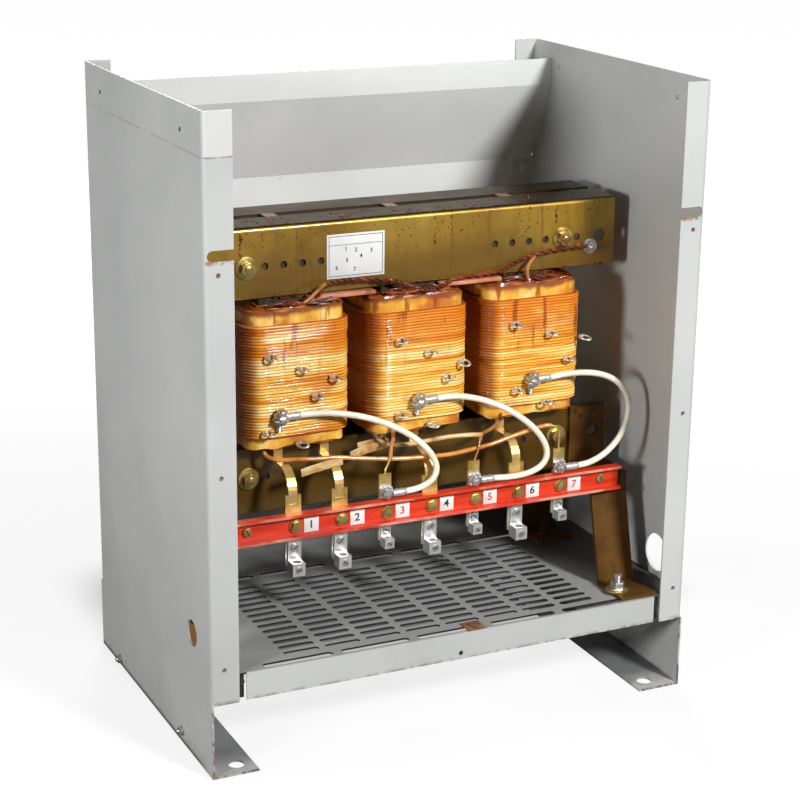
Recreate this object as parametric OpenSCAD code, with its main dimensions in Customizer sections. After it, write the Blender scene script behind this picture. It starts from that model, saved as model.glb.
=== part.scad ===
// Open dry-type three-phase power transformer in a folded sheet cabinet.
// The front cover and the roof are off. The front faces -Y, the floor is z = 0.

/* [Cabinet] */
// Width over the two side panels
cabinet_w = 562; // [540:1:640]
// Depth over the front flanges and the back cover
cabinet_d = 375; // [372:1:430]
// Height of the side panels
cabinet_h = 686; // [680:1:760]
// Thickness of the cabinet sheet
sheet_t = 2; // [1:0.5:2.5]
// Outer radius of the upright folds
fold_r = 6; // [4:1:8]
// Width of the upright flanges
flange_w = 30; // [24:1:34]
// Height at which the upright flanges start
flange_z = 82; // [60:1:84]
// Width of the foot flanges
foot_w = 51; // [44:1:70]
// Height of the middle of the flange notches
notch_z = 548; // [540:1:560]
// Height of the flange notches
notch_h = 11; // [11:0.5:14]
// Metal left between a notch and the outer face
notch_land = 3; // [2.5:0.5:6]

/* [Cabinet holes] */
// Diameter of the foot holes
foot_hole_d = 17; // [10:0.5:20]
// Foot hole from the outer face of its side panel
foot_hole_x = 33; // [22:1:36]
// Foot hole from the front or the back of the cabinet
foot_hole_y = 20; // [14:1:40]
// Diameter of the conduit hole in the left panel
left_knockout_d = 28.6; // [20:0.1:32]
// Diameter of the conduit hole in the right panel
right_knockout_d = 44; // [20:0.1:50]
// Conduit holes behind the front of the cabinet
knockout_y = 56; // [40:1:90]
// Middle of the conduit holes above the base floor
knockout_rise = 28; // [27:1:60]
// Diameter of the cover screw holes
cover_hole_d = 5; // [3:0.5:8]
// Cover screw holes from the outer face of the side panel
cover_hole_x = 14; // [10:1:18]
// Heights of the cover screw holes
cover_hole_zs = [120, 325, 529]; // [118:1:532]

/* [Back cover] */
// Height of the top edge of the back cover
cover_top_z = 668; // [650:1:676]
// Height at which the sloped part of the back cover ends
hood_z = 637.5; // [620:0.5:645]
// Distance that the top strip stands forward of the back
hood_reach = 44; // [30:1:48]
// Gap between the back cover and the ends of the notches
cover_gap = 1; // [0.5:0.5:3]

/* [Base] */
// Height of the top of the base floor
floor_z = 113; // [108:1:130]
// Height of the front and rear sills
sill_h = 30; // [24:1:36]
// Gap between a sill and the upright flanges
sill_gap = 8; // [1:0.5:12]
// Length of the air slots in the floor
slot_l = 40; // [24:1:42]
// Width of the air slots
slot_w = 8; // [4:0.5:10]
// Column spacing of the air slots
slot_pitch_x = 47; // [45:0.5:50]
// Row spacing of the air slots
slot_pitch_y = 14.9; // [12:0.1:16]
// Columns of air slots
slot_cols = 8; // [4:1:8]
// Rows of air slots
slot_rows = 13; // [6:1:13]
// Middle of the air slots, right of the cabinet middle
slot_mid_x = -7; // [-20:1:20]
// Front row of air slots behind the front of the cabinet
slot_start_y = 27.5; // [24:0.5:40]
// Length of the long slots along the floor edges
edge_slot_l = 78; // [50:1:80]
// Width of the long slots
edge_slot_w = 9; // [5:0.5:11]
// Spacing of the long slots
edge_slot_pitch = 88; // [86:1:96]
// Long slots in a row
edge_slot_n = 5; // [2:1:5]
// Front long slots behind the front of the cabinet
edge_slot_y = 9; // [8:0.5:12]
// Rear long slots behind the last row of air slots
rear_slot_step = 30; // [20:1:40]

/* [Core] */
// Height of the underside of the core
core_z = 231; // [225:1:245]
// Depth of the core stack
stack_d = 98; // [90:1:104]
// Height of a yoke
yoke_h = 64; // [56:1:70]
// Width of a core window
window_w = 76; // [70:1:82]
// Height of a core window
window_h = 179; // [170:1:190]

/* [Coils] */
// Gap between two coils
coil_gap = 18; // [12:1:24]
// Reach of a coil past the front and the back of the core stack
coil_reach = 35; // [32:1:40]
// Corner radius of a coil
coil_r = 22; // [12:1:28]
// Bottom of the collar above the lower yoke
collar_lift = 13; // [10:1:15]
// Top of the collar below the upper yoke
collar_drop = 14; // [10:1:20]
// Bottom of the winding above the bottom of the collar
winding_lift = 14; // [8:1:20]
// Top of the winding below the top of the collar
winding_drop = 17; // [8:1:24]
// Outer layer of the winding past the collar
winding_t = 5; // [3:0.5:8]

/* [Clamps] */
// Gap between the ends of the clamps and the sides of the cabinet
side_gap = 28; // [24:1:36]
// Reach of the clamp webs past the yokes
clamp_lap = 8; // [4:0.5:8]
// Thickness of the clamps
clamp_t = 3; // [2:0.5:4]
// Gap between the flanges of a pair of clamps
clamp_gap = 16; // [10:1:30]
// Outer radius of the clamp fold
clamp_r = 5; // [4.5:0.5:8]
// Tie bolts from the ends of the clamps
tie_end = 66; // [60:1:70]
// Tie bolts from the ends of the yokes
yoke_gap = 15; // [12:1:20]
// Tie bolts past the middle of a yoke
tie_step = 7; // [2:0.5:10]
// Diameter of the tie bolt holes
tie_hole_d = 11; // [8:0.5:13]
// Outer diameter of the tie tubes
tie_tube_d = 20; // [16:0.5:22]
// Diameter of the spare holes in the clamps
spare_hole_d = 8; // [5:0.5:10]
// Spacing of the spare holes
spare_pitch = 21; // [18:0.5:22]
// Spare holes at each end of a clamp
spare_n = 4; // [2:1:4]
// Hole outside a tie bolt of the upper clamps, from that bolt
outer_hole_step = 18; // [14:1:22]
// Diameter of the lifting holes
lift_hole_d = 14; // [8:0.5:18]
// Lifting holes from the end of a clamp
lift_inset = 19; // [14:1:24]
// Width of the spacers between the clamp flanges
spacer_w = 14; // [8:1:20]
// Height of the spacers
spacer_h = 3; // [2:0.5:10]

/* [Stands] */
// Middle of the stands from the ends of the clamps
stand_inset = 27; // [25:0.5:30]
// Width of a stand
stand_w = 45; // [36:1:46]
// Thickness of a stand
stand_t = 4; // [3:0.5:6]
// Top of a stand below the edge of its clamp
stand_margin = 2; // [1:0.5:20]
// Height of the arm of the stand above the underside of the core
stand_arm = 2; // [0:1:6]
// Length of the upright part behind the board
stand_drop = 18; // [16:1:30]
// Reach of the foot ahead of the upright part
ankle_reach = 24; // [10:1:30]
// Front toe behind the front of the cabinet
toe_gap = 4.5; // [3:0.5:20]
// Width of the arm that holds the left end of the board
arm_w = 26; // [16:1:34]

/* [Terminal board] */
// Ends of the board inside the ends of the clamps
board_inset = 18; // [8:1:30]
// Height of the board
board_h = 27; // [24:0.5:34]
// Thickness of the board
board_t = 3; // [2:0.5:4]
// Depth of the two lips of the board
lip_d = 8; // [4:0.5:10]
// Back of the board ahead of the coils
board_ahead = 25; // [22:0.5:30]
// Middle of the board above the underside of the core
board_rise = 3; // [1:0.5:4]
// Outer terminals from the ends of the board
terminal_inset = 76; // [66:1:90]

/* [Terminals] */
// Thickness of the terminal plates
plate_t = 3; // [2:0.5:4]
// Width of the strap plates
strap_plate_w = 18; // [14:0.5:22]
// Width of the lead plates
lead_plate_w = 14; // [10:0.5:18]
// Top of the strap plates above the middle of the board
strap_plate_up = 32; // [28:0.5:36]
// Top of the lead plates above the middle of the board
lead_plate_up = 41; // [36:0.5:46]
// Bottom of the strap plates below the middle of the board
strap_plate_down = 46; // [38:0.5:52]
// Bottom of the lead plates below the middle of the board
lead_plate_down = 34; // [30:0.5:40]
// Depth of the notch in the top of the strap plates
plate_notch = 10; // [6:0.5:12]
// Width of the strap lugs
strap_lug_w = 14; // [11:0.5:17]
// Width of the lead lugs
lead_lug_w = 11; // [10:0.5:13]
// Depth of the strap lugs
strap_lug_d = 16; // [13:0.5:18]
// Depth of the lead lugs
lead_lug_d = 13; // [12:0.5:15]
// Thickness of the tang of a lug
tang_t = 3; // [2:0.5:4]
// Wire bore of the strap lugs
strap_lug_bore = 9; // [5:0.5:10]
// Wire bore of the lead lugs
lead_lug_bore = 7; // [4:0.5:8]

/* [Conductors] */
// Width of the coil straps
strap_w = 10; // [6:0.5:12]
// Thickness of the coil straps
strap_t = 2; // [1:0.5:3]
// Bend radius of the coil straps, as a share of their run to the board
strap_run_share = 0.63; // [0.5:0.01:0.7]
// Most that the bend takes of the fall to the plates, as a share
strap_fall_share = 0.5; // [0.4:0.01:0.5]
// Drop of the coil straps below the collars, as a share of that fall
strap_drop_share = 0.3; // [0.2:0.01:0.35]
// Straps behind the front of the collar where they leave it
strap_inset = 11; // [8:1:14]
// Diameter of the white leads
lead_d = 6.8; // [5:0.2:7]
// Diameter of the bare delta lead
delta_d = 5; // [3:0.2:5]
// Diameter of the crimp barrels
barrel_d = 8; // [7:0.5:9]
// Length of the crimp barrels
barrel_l = 16; // [10:0.5:16]
// Size of the square crimp tongues
tongue_w = 12; // [10:0.5:13]
// Thickness of the crimp tongues
tongue_t = 2; // [1:0.5:2]
// Lead bolts above the middle of the board
lead_bolt_rise = 20; // [20:0.5:22]

/* [Hidden] */
// Overrun of every cut past the surface it opens
over = 1;
// Facets of a full circle
$fn = 48;

// Places that follow from the sizes above
side_x = cabinet_w / 2;
front_y = -cabinet_d / 2;
rear_y = cabinet_d / 2;
panel_d = cabinet_d - sheet_t;
panel_y = -sheet_t / 2;
inner_w = cabinet_w - 2 * sheet_t;
floor_d = panel_d - 2 * sheet_t;
flange_rear_y = rear_y - sheet_t;
notch_end_x = side_x - notch_land - notch_h / 2;
sill_w = cabinet_w - 2 * (flange_w + sill_gap);
cover_w = cabinet_w - 2 * (notch_land + cover_gap);
cover_bend_z = notch_z - notch_h / 2 + cover_gap;
cover_foot_z = floor_z - sill_h;
slot_end_y = front_y + slot_start_y + (slot_rows - 1) * slot_pitch_y;

clamp_l = cabinet_w - 2 * side_gap;
tie_x = clamp_l / 2 - tie_end;
yoke_w = 2 * (tie_x - yoke_gap);
leg_n = 3;
leg_w = (yoke_w - (leg_n - 1) * window_w) / leg_n;
leg_pitch = leg_w + window_w;
leg_xs = [-leg_pitch, 0, leg_pitch];
upper_yoke_z = core_z + yoke_h + window_h;
core_top_z = upper_yoke_z + yoke_h;

coil_w = leg_pitch - coil_gap;
coil_d = stack_d + 2 * coil_reach;
coil_front_y = -coil_d / 2;
collar_z = core_z + yoke_h + collar_lift;
collar_w = coil_w - 2 * winding_t;
collar_d = coil_d - 2 * winding_t;
collar_h = window_h - collar_lift - collar_drop;
collar_r = coil_r - winding_t;
winding_z = collar_z + winding_lift;
winding_h = collar_h - winding_lift - winding_drop;

clamp_y = stack_d / 2 + clamp_t;
clamp_h = clamp_t + yoke_h + clamp_lap;
clamp_flange = clamp_y - clamp_gap / 2;
tie_inset = yoke_h / 2 + tie_step;

board_l = clamp_l - 2 * board_inset;
board_y = coil_d / 2 + board_ahead;
board_z = core_z + board_rise;
board_front_y = -board_y - board_t;
stand_x = clamp_l / 2 - stand_inset;
stand_rise = yoke_h + clamp_lap - stand_margin;
arm_z = core_z + stand_arm;
toe_l = cabinet_d / 2 - toe_gap - board_y - ankle_reach;

// What feeds each terminal, from the left
terminal_feeds = ["strap", "strap", "lead", "strap", "lead", "strap", "lead"];
terminal_n = len(terminal_feeds);
terminal_pitch = (board_l - 2 * terminal_inset) / (terminal_n - 1);
function terminal_x(i) = (i - (terminal_n - 1) / 2) * terminal_pitch;
function is_strap(i) = terminal_feeds[i] == "strap";
strap_terminals = [for (i = [0:terminal_n - 1]) if (is_strap(i)) i];
lead_terminals = [for (i = [0:terminal_n - 1]) if (!is_strap(i)) i];
lead_bolt_z = board_z + lead_bolt_rise;
// Lead bolts on the coil fronts, as shares of the coil width and the winding height
coil_bolt_x_shares = [-0.2, -0.04, -0.05];
coil_bolt_z_shares = [0.2, 0.19, 0.25];
barrel_step = (barrel_d + tongue_t) / 2;
function coil_bolt(k) = [leg_xs[k] + coil_bolt_x_shares[k] * coil_w, coil_front_y,
    winding_z + coil_bolt_z_shares[k] * winding_h];
function plate_bolt(k) = [terminal_x(lead_terminals[k]), -board_y, lead_bolt_z];
function barrel_end(bolt) = bolt + [tongue_w / 2 + barrel_l, -barrel_step, 0];

// Handles of the white leads at the coil and at the plate, as shares of the leg spacing
coil_handle_shares = [[0.83, -0.07, 0.03], [0.61, -0.07, 0.08], [0.96, -0.17, 0.17]];
plate_handle_shares = [[0.6, -0.09, 0.05], [0.99, -0.08, -0.09], [0.48, -0.07, 0.02]];
lead_step_n = 18;
function between(a, b, c, d, t) = pow(1 - t, 3) * a + 3 * pow(1 - t, 2) * t * b
    + 3 * (1 - t) * pow(t, 2) * c + pow(t, 3) * d;
function lead_route(k) =
    let (coil_end = barrel_end(coil_bolt(k)),
         plate_end = barrel_end(plate_bolt(k)),
         coil_handle = coil_end + leg_pitch * coil_handle_shares[k],
         plate_handle = plate_end + leg_pitch * plate_handle_shares[k])
    [for (i = [0:lead_step_n])
        between(coil_end, coil_handle, plate_handle, plate_end, i / lead_step_n)];

// Run of the bare lead under the coils: shares of the leg spacing, of the board's place
// ahead of the core and of the yoke height below the collars
delta_shares = [
    [-1.25, 0.64, 0.1], [-1.21, 0.72, 0.16], [-1.13, 0.77, 0.17], [-1.02, 0.81, 0.17],
    [-0.89, 0.835, 0.19], [-0.75, 0.85, 0.2], [-0.57, 0.88, 0.25], [-0.36, 0.92, 0.3],
    [-0.18, 0.95, 0.33], [0, 0.97, 0.34], [0.18, 0.96, 0.36], [0.36, 0.945, 0.34],
    [0.54, 0.93, 0.31], [0.71, 0.93, 0.23], [0.89, 0.945, 0.14], [1.02, 0.97, 0.08],
    [1.09, 0.98, 0.1]
];
delta_start = [delta_shares[0][0] * leg_pitch, -collar_d / 2 + strap_inset, collar_z];
delta_end = [terminal_x(terminal_n - 1), -board_y + plate_t / 2, board_z + lead_plate_up];
delta_riser = [0, 0, (collar_z - delta_end[2]) / 2];
delta_route = concat([delta_start],
    [for (s = delta_shares) [s[0] * leg_pitch, -s[1] * board_y, collar_z - s[2] * yoke_h]],
    [delta_end + delta_riser, delta_end]);

// Outlines
module round_rect(w, d, r) {
    square([w - 2 * r, d], center = true);
    square([w, d - 2 * r], center = true);
    for (sx = [-1, 1], sy = [-1, 1])
        translate([sx * (w / 2 - r), sy * (d / 2 - r)]) circle(r);
}

module slot_outline(l, w) {
    square([l - w, w], center = true);
    for (s = [-1, 1]) translate([s * (l - w) / 2, 0]) circle(w / 2);
}

function unit(v) = v / norm(v);
function turned(a, b) = let (d = unit(b - a)) [-d[1], d[0]];
function beside(p, i, t) =
    let (n0 = turned(p[max(i - 1, 0)], p[max(i, 1)]),
         n1 = turned(p[min(i, len(p) - 2)], p[min(i + 1, len(p) - 1)]))
    p[i] + t * (n0 + n1) / (1 + n0 * n1);

// Strip of thickness t on the left of a line of points
module strip_outline(points, t) {
    last = len(points) - 1;
    polygon(concat(points, [for (i = [last:-1:0]) beside(points, i, t)]));
}

// Outline in the YZ plane carried along X over a width centred at x
module along_x(x, w) {
    translate([x - w / 2, 0, 0]) rotate([90, 0, 90]) linear_extrude(w) children();
}

module hole_y(x, z, d, y0, y1) {
    translate([x, y0, z]) rotate([-90, 0, 0]) cylinder(d = d, h = y1 - y0);
}

module hole_x(y, z, d, x0, x1) {
    translate([x0, y, z]) rotate([0, 90, 0]) cylinder(d = d, h = x1 - x0);
}

module hole_z(x, y, d, z0, z1) {
    translate([x, y, z0]) cylinder(d = d, h = z1 - z0);
}

// Tube swept along a route, with the end rings square to the first and last steps
tube_sides = 10;
function step_dir(p, i) = unit(p[min(i + 1, len(p) - 1)] - p[max(i - 1, 0)]);
function side_dir(d) = unit(cross(d, abs(d[1]) < 0.9 ? [0, 1, 0] : [1, 0, 0]));
function ring(p, i, r, d) =
    let (u = side_dir(d), v = cross(d, u), turn = 360 / tube_sides)
    [for (k = [0:tube_sides - 1]) p[i] + r * (cos(k * turn) * u + sin(k * turn) * v)];
module tube(p, d, first, final) {
    n = len(p);
    dirs = [for (i = [0:n - 1]) i == 0 ? first : i == n - 1 ? final : step_dir(p, i)];
    points = [for (i = [0:n - 1]) each ring(p, i, d / 2, dirs[i])];
    sides = [for (i = [0:n - 2], k = [0:tube_sides - 1])
        let (a = i * tube_sides, b = a + tube_sides, m = (k + 1) % tube_sides)
        each [[a + k, a + m, b + m], [a + k, b + m, b + k]]];
    caps = [[for (k = [tube_sides - 1:-1:0]) k],
            [for (k = [0:tube_sides - 1]) (n - 1) * tube_sides + k]];
    polyhedron(points, concat(sides, caps));
}

// Cabinet
module flange_channel(side) {
    intersection() {
        difference() {
            round_rect(cabinet_w, panel_d, fold_r);
            round_rect(inner_w, floor_d, fold_r - sheet_t);
        }
        translate([side * (side_x + over - (flange_w + over) / 2), 0])
            square([flange_w + over, panel_d + over], center = true);
    }
}

module side_panel(side, knockout_d) {
    outer_x = side * side_x;
    color("lightgray") difference() {
        union() {
            translate([0, panel_y, flange_z]) linear_extrude(cabinet_h - flange_z) flange_channel(side);
            translate([outer_x - side * sheet_t / 2, panel_y, flange_z / 2])
                cube([sheet_t, panel_d, flange_z], center = true);
            translate([outer_x - side * foot_w / 2, panel_y, sheet_t / 2])
                cube([foot_w, panel_d, sheet_t], center = true);
        }
        for (y = [front_y, flange_rear_y]) {
            translate([side * (notch_end_x - flange_w / 2), y, notch_z])
                cube([flange_w, 2 * fold_r, notch_h], center = true);
            hole_y(side * notch_end_x, notch_z, notch_h, y - fold_r, y + fold_r);
        }
        for (y = [front_y + foot_hole_y, rear_y - foot_hole_y])
            hole_z(outer_x - side * foot_hole_x, y, foot_hole_d, -over, sheet_t + over);
        for (z = cover_hole_zs)
            hole_y(outer_x - side * cover_hole_x, z, cover_hole_d, front_y - over, front_y + sheet_t + over);
        hole_x(front_y + knockout_y, floor_z + knockout_rise, knockout_d,
            outer_x - sheet_t - over, outer_x + sheet_t + over);
    }
}

module left_side_panel() { side_panel(-1, left_knockout_d); }

module right_side_panel() { side_panel(1, right_knockout_d); }

module back_cover() {
    color("silver") along_x(0, cover_w) strip_outline([
        [rear_y - hood_reach, cover_top_z],
        [rear_y - hood_reach, hood_z],
        [flange_rear_y, cover_bend_z],
        [flange_rear_y, cover_foot_z]], sheet_t);
}

module base_floor() {
    color("darkgray") translate([0, 0, floor_z - sheet_t]) linear_extrude(sheet_t) difference() {
        translate([0, panel_y]) round_rect(inner_w, floor_d, fold_r);
        for (c = [0:slot_cols - 1], r = [0:slot_rows - 1])
            translate([slot_mid_x + (c - (slot_cols - 1) / 2) * slot_pitch_x,
                       front_y + slot_start_y + r * slot_pitch_y])
                slot_outline(slot_l, slot_w);
        for (c = [0:edge_slot_n - 1], y = [front_y + edge_slot_y, slot_end_y + rear_slot_step])
            translate([slot_mid_x + (c - (edge_slot_n - 1) / 2) * edge_slot_pitch, y])
                slot_outline(edge_slot_l, edge_slot_w);
    }
}

module sill(y) {
    color("lightgray") translate([-sill_w / 2, y, floor_z - sill_h]) cube([sill_w, sheet_t, sill_h]);
}

module front_sill() { sill(front_y); }

module rear_sill() { sill(flange_rear_y - sheet_t); }

// Core
module yoke(z) {
    color("dimgray") translate([-yoke_w / 2, -stack_d / 2, z]) cube([yoke_w, stack_d, yoke_h]);
}

module lower_yoke() { yoke(core_z); }

module upper_yoke() { yoke(upper_yoke_z); }

module core_leg(i) {
    color("dimgray") translate([leg_xs[i] - leg_w / 2, -stack_d / 2, core_z + yoke_h])
        cube([leg_w, stack_d, window_h]);
}

// Coils
module coil(i) {
    color("orange") translate([leg_xs[i], 0, winding_z]) linear_extrude(winding_h) difference() {
        round_rect(coil_w, coil_d, coil_r);
        round_rect(collar_w, collar_d, collar_r);
    }
}

module collar(i) {
    color("goldenrod") translate([leg_xs[i], 0, collar_z]) linear_extrude(collar_h) difference() {
        round_rect(collar_w, collar_d, collar_r);
        square([leg_w, stack_d], center = true);
    }
}

// Clamps, built as the front upper one and turned into place
module clamp_outline() {
    difference() {
        union() {
            translate([-clamp_y, -clamp_h]) square([clamp_t, clamp_h]);
            translate([-clamp_y, -clamp_t]) square([clamp_flange, clamp_t]);
        }
        translate([-clamp_y, -clamp_r]) difference() {
            translate([-over, 0]) square([clamp_r + over, clamp_r + over]);
            translate([clamp_r, 0]) circle(clamp_r);
        }
    }
}

module clamp_hole(x, d) {
    hole_y(x, -clamp_t - tie_inset, d, -clamp_y - over, -stack_d / 2 + over);
}

module clamp() {
    color("darkgoldenrod") difference() {
        along_x(0, clamp_l) clamp_outline();
        for (s = [-1, 1]) {
            clamp_hole(s * tie_x, tie_hole_d);
            for (k = [1:spare_n]) clamp_hole(s * (tie_x - k * spare_pitch), spare_hole_d);
            clamp_hole(s * (clamp_l / 2 - lift_inset), lift_hole_d);
        }
    }
}

// The upper clamps have one more hole outside each tie bolt
module upper_clamp() {
    translate([0, 0, core_top_z + clamp_t]) difference() {
        clamp();
        for (s = [-1, 1]) clamp_hole(s * (tie_x + outer_hole_step), spare_hole_d);
    }
}

module upper_front_clamp() { upper_clamp(); }

module upper_rear_clamp() { mirror([0, 1, 0]) upper_clamp(); }

module lower_front_clamp() { translate([0, 0, core_z - clamp_t]) mirror([0, 0, 1]) clamp(); }

module lower_rear_clamp() {
    translate([0, 0, core_z - clamp_t]) mirror([0, 1, 0]) mirror([0, 0, 1]) clamp();
}

module tie_tubes() {
    color("tan") for (x = [-tie_x, tie_x], z = [core_z + tie_inset, core_top_z - tie_inset])
        difference() {
            hole_y(x, z, tie_tube_d, -stack_d / 2, stack_d / 2);
            hole_y(x, z, tie_hole_d, -stack_d / 2 - over, stack_d / 2 + over);
        }
}

module flange_spacers() {
    color("tan") for (x = leg_xs)
        translate([x - spacer_w / 2, -clamp_gap / 2, core_top_z])
            cube([spacer_w, clamp_gap, spacer_h]);
}

// Stands that carry the core on the base floor, each built at the front right
module stand(outline) {
    color("saddlebrown") difference() {
        along_x(stand_x, stand_w) polygon(outline);
        hole_y(clamp_l / 2 - lift_inset, core_z + tie_inset, lift_hole_d,
            -clamp_y - stand_t - over, -clamp_y + over);
    }
}

// Bent stand that passes behind the board, with its toe to the front
module bent_stand() {
    stand([
        [-clamp_y, core_z + stand_rise],
        [-clamp_y - stand_t, core_z + stand_rise],
        [-clamp_y - stand_t, arm_z + stand_t],
        [-board_y, arm_z + stand_t],
        [-board_y, arm_z - stand_drop],
        [-board_y - ankle_reach, floor_z + stand_t],
        [-board_y - ankle_reach - toe_l, floor_z + stand_t],
        [-board_y - ankle_reach - toe_l, floor_z],
        [-board_y - ankle_reach + stand_t, floor_z],
        [-board_y + stand_t, arm_z - stand_drop],
        [-board_y + stand_t, arm_z],
        [-clamp_y, arm_z]]);
}

// Straight stand with its toe under the core
module straight_stand() {
    stand([
        [-clamp_y, core_z + stand_rise],
        [-clamp_y - stand_t, core_z + stand_rise],
        [-clamp_y - stand_t, floor_z],
        [-clamp_y - stand_t + toe_l, floor_z],
        [-clamp_y - stand_t + toe_l, floor_z + stand_t],
        [-clamp_y, floor_z + stand_t]]);
}

// Arm of a straight stand that holds the end of the board
module board_arm() {
    color("saddlebrown") along_x(stand_x + (stand_w - arm_w) / 2, arm_w) polygon([
        [-clamp_y, arm_z + stand_t],
        [-board_y, arm_z + stand_t],
        [-board_y, arm_z - stand_drop],
        [-board_y + stand_t, arm_z - stand_drop],
        [-board_y + stand_t, arm_z],
        [-clamp_y, arm_z]]);
}

module front_left_stand() {
    mirror([1, 0, 0]) {
        straight_stand();
        board_arm();
    }
}

module front_right_stand() { bent_stand(); }

module rear_left_stand() { mirror([1, 0, 0]) mirror([0, 1, 0]) straight_stand(); }

module rear_right_stand() { mirror([0, 1, 0]) straight_stand(); }

// Terminals
module terminal_board() {
    color("red") along_x(0, board_l) translate([board_front_y, board_z]) {
        translate([0, -board_h / 2]) square([board_t, board_h]);
        for (z = [-board_h / 2, board_h / 2 - board_t])
            translate([-lip_d, z]) square([lip_d + board_t, board_t]);
    }
}

module strap_plate(i) {
    plate_h = strap_plate_up + strap_plate_down;
    color("gold") translate([terminal_x(i), -board_y, board_z]) difference() {
        translate([-strap_plate_w / 2, 0, -strap_plate_down]) cube([strap_plate_w, plate_t, plate_h]);
        translate([-strap_w / 2, -over, strap_plate_up - plate_notch])
            cube([strap_w, plate_t + 2 * over, plate_notch + over]);
    }
}

module lead_plate(i) {
    color("gainsboro") translate([terminal_x(i) - lead_plate_w / 2, -board_y, board_z - lead_plate_down])
        cube([lead_plate_w, plate_t, lead_plate_up + lead_plate_down]);
}

module terminal_plate(i) {
    if (is_strap(i)) strap_plate(i);
    else lead_plate(i);
}

// Set-screw lug on the front of a plate, its block as tall as it is wide
module lug_body(i, w, d, bore, bottom_z) {
    color("whitesmoke") translate([terminal_x(i), -board_y, bottom_z]) difference() {
        union() {
            translate([-w / 2, -d, 0]) cube([w, d, w]);
            translate([-w / 2, -tang_t, 0]) cube([w, tang_t, board_z - board_h / 2 - bottom_z]);
        }
        hole_z(0, -(d + tang_t) / 2, bore, -over, w + over);
    }
}

module lug(i) {
    if (is_strap(i))
        lug_body(i, strap_lug_w, strap_lug_d, strap_lug_bore, board_z - strap_plate_down - strap_lug_w / 2);
    else
        lug_body(i, lead_lug_w, lead_lug_d, lead_lug_bore, board_z - lead_plate_down - lead_lug_w / 2);
}

// Straps from the underside of the collars to the notches of the strap plates
module coil_straps() {
    start_y = -collar_d / 2 + strap_inset;
    foot_z = board_z + strap_plate_up - plate_notch;
    fall = collar_z - foot_z;
    bend_r = min(strap_run_share * (board_y + start_y), strap_fall_share * fall);
    bend_y = -board_y + bend_r + (plate_t - strap_t) / 2;
    bend_z = collar_z - strap_drop_share * fall - bend_r;
    arc_points = [for (a = [90:10:180]) [bend_y + bend_r * cos(a), bend_z + bend_r * sin(a)]];
    color("peru") for (i = strap_terminals)
        along_x(terminal_x(i), strap_w) strip_outline(concat(
            [[start_y, collar_z], [start_y, bend_z + bend_r]],
            arc_points,
            [[bend_y - bend_r, foot_z]]), strap_t);
}

// Crimp lug of a white lead: a tongue against the face at the bolt and a barrel to the right
module crimp(bolt) {
    translate(bolt - [tongue_w / 2, tongue_t, tongue_w / 2]) cube([tongue_w, tongue_t, tongue_w]);
    translate(bolt + [tongue_w / 2 - tongue_t, -barrel_step, 0]) rotate([0, 90, 0])
        cylinder(d = barrel_d, h = barrel_l + tongue_t);
}

module lead_crimps() {
    color("silver") for (k = [0:2]) {
        crimp(coil_bolt(k));
        crimp(plate_bolt(k));
    }
}

module white_lead(k) {
    color("ivory") tube(lead_route(k), lead_d, [1, 0, 0], [-1, 0, 0]);
}

module delta_lead() {
    color("darkorange") tube(delta_route, delta_d, [0, 0, -1], [0, 0, -1]);
}

left_side_panel();
right_side_panel();
back_cover();
base_floor();
front_sill();
rear_sill();
lower_yoke();
upper_yoke();
core_leg(0);  // left_core_leg
core_leg(1);  // middle_core_leg
core_leg(2);  // right_core_leg
coil(0);  // left_coil
coil(1);  // middle_coil
coil(2);  // right_coil
collar(0);  // left_collar
collar(1);  // middle_collar
collar(2);  // right_collar
upper_front_clamp();
upper_rear_clamp();
lower_front_clamp();
lower_rear_clamp();
tie_tubes();
flange_spacers();
front_left_stand();
front_right_stand();
rear_left_stand();
rear_right_stand();
terminal_board();
terminal_plate(0);  // terminal_plate_1
terminal_plate(1);  // terminal_plate_2
terminal_plate(2);  // terminal_plate_3
terminal_plate(3);  // terminal_plate_4
terminal_plate(4);  // terminal_plate_5
terminal_plate(5);  // terminal_plate_6
terminal_plate(6);  // terminal_plate_7
lug(0);  // lug_1
lug(1);  // lug_2
lug(2);  // lug_3
lug(3);  // lug_4
lug(4);  // lug_5
lug(5);  // lug_6
lug(6);  // lug_7
coil_straps();
lead_crimps();
white_lead(0);  // white_lead_1
white_lead(1);  // white_lead_2
white_lead(2);  // white_lead_3
delta_lead();
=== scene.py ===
import math
import random
import bpy
import bmesh
from mathutils import Matrix, Vector, noise


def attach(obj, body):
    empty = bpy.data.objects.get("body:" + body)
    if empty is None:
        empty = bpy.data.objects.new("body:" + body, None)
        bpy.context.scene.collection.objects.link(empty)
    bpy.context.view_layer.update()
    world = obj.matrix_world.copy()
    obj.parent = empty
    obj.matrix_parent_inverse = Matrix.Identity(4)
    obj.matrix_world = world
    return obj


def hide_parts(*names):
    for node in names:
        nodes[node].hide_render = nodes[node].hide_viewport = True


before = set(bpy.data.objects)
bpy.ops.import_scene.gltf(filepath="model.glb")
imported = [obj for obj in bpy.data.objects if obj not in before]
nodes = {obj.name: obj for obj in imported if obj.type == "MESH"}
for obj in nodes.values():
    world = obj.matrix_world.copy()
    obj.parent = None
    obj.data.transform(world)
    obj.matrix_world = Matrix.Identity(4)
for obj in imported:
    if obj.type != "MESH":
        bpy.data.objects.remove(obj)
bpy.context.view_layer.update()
scene = bpy.context.scene
scene.view_settings.view_transform = "Standard"
mm = 0.001
toFront, toRear, upright = (0, -1, 0), (0, 1, 0), (0, 0, 1)
random.seed(11)

# camera, solved for an 800 x 800 picture
camera = {"place": (-0.9040, -1.91825, 0.97904), "ahead": (0.41272518, 0.86111157, -0.29689189),
          "rollDeg": 0.71, "lens": 89.62, "sensor": 36}


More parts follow.
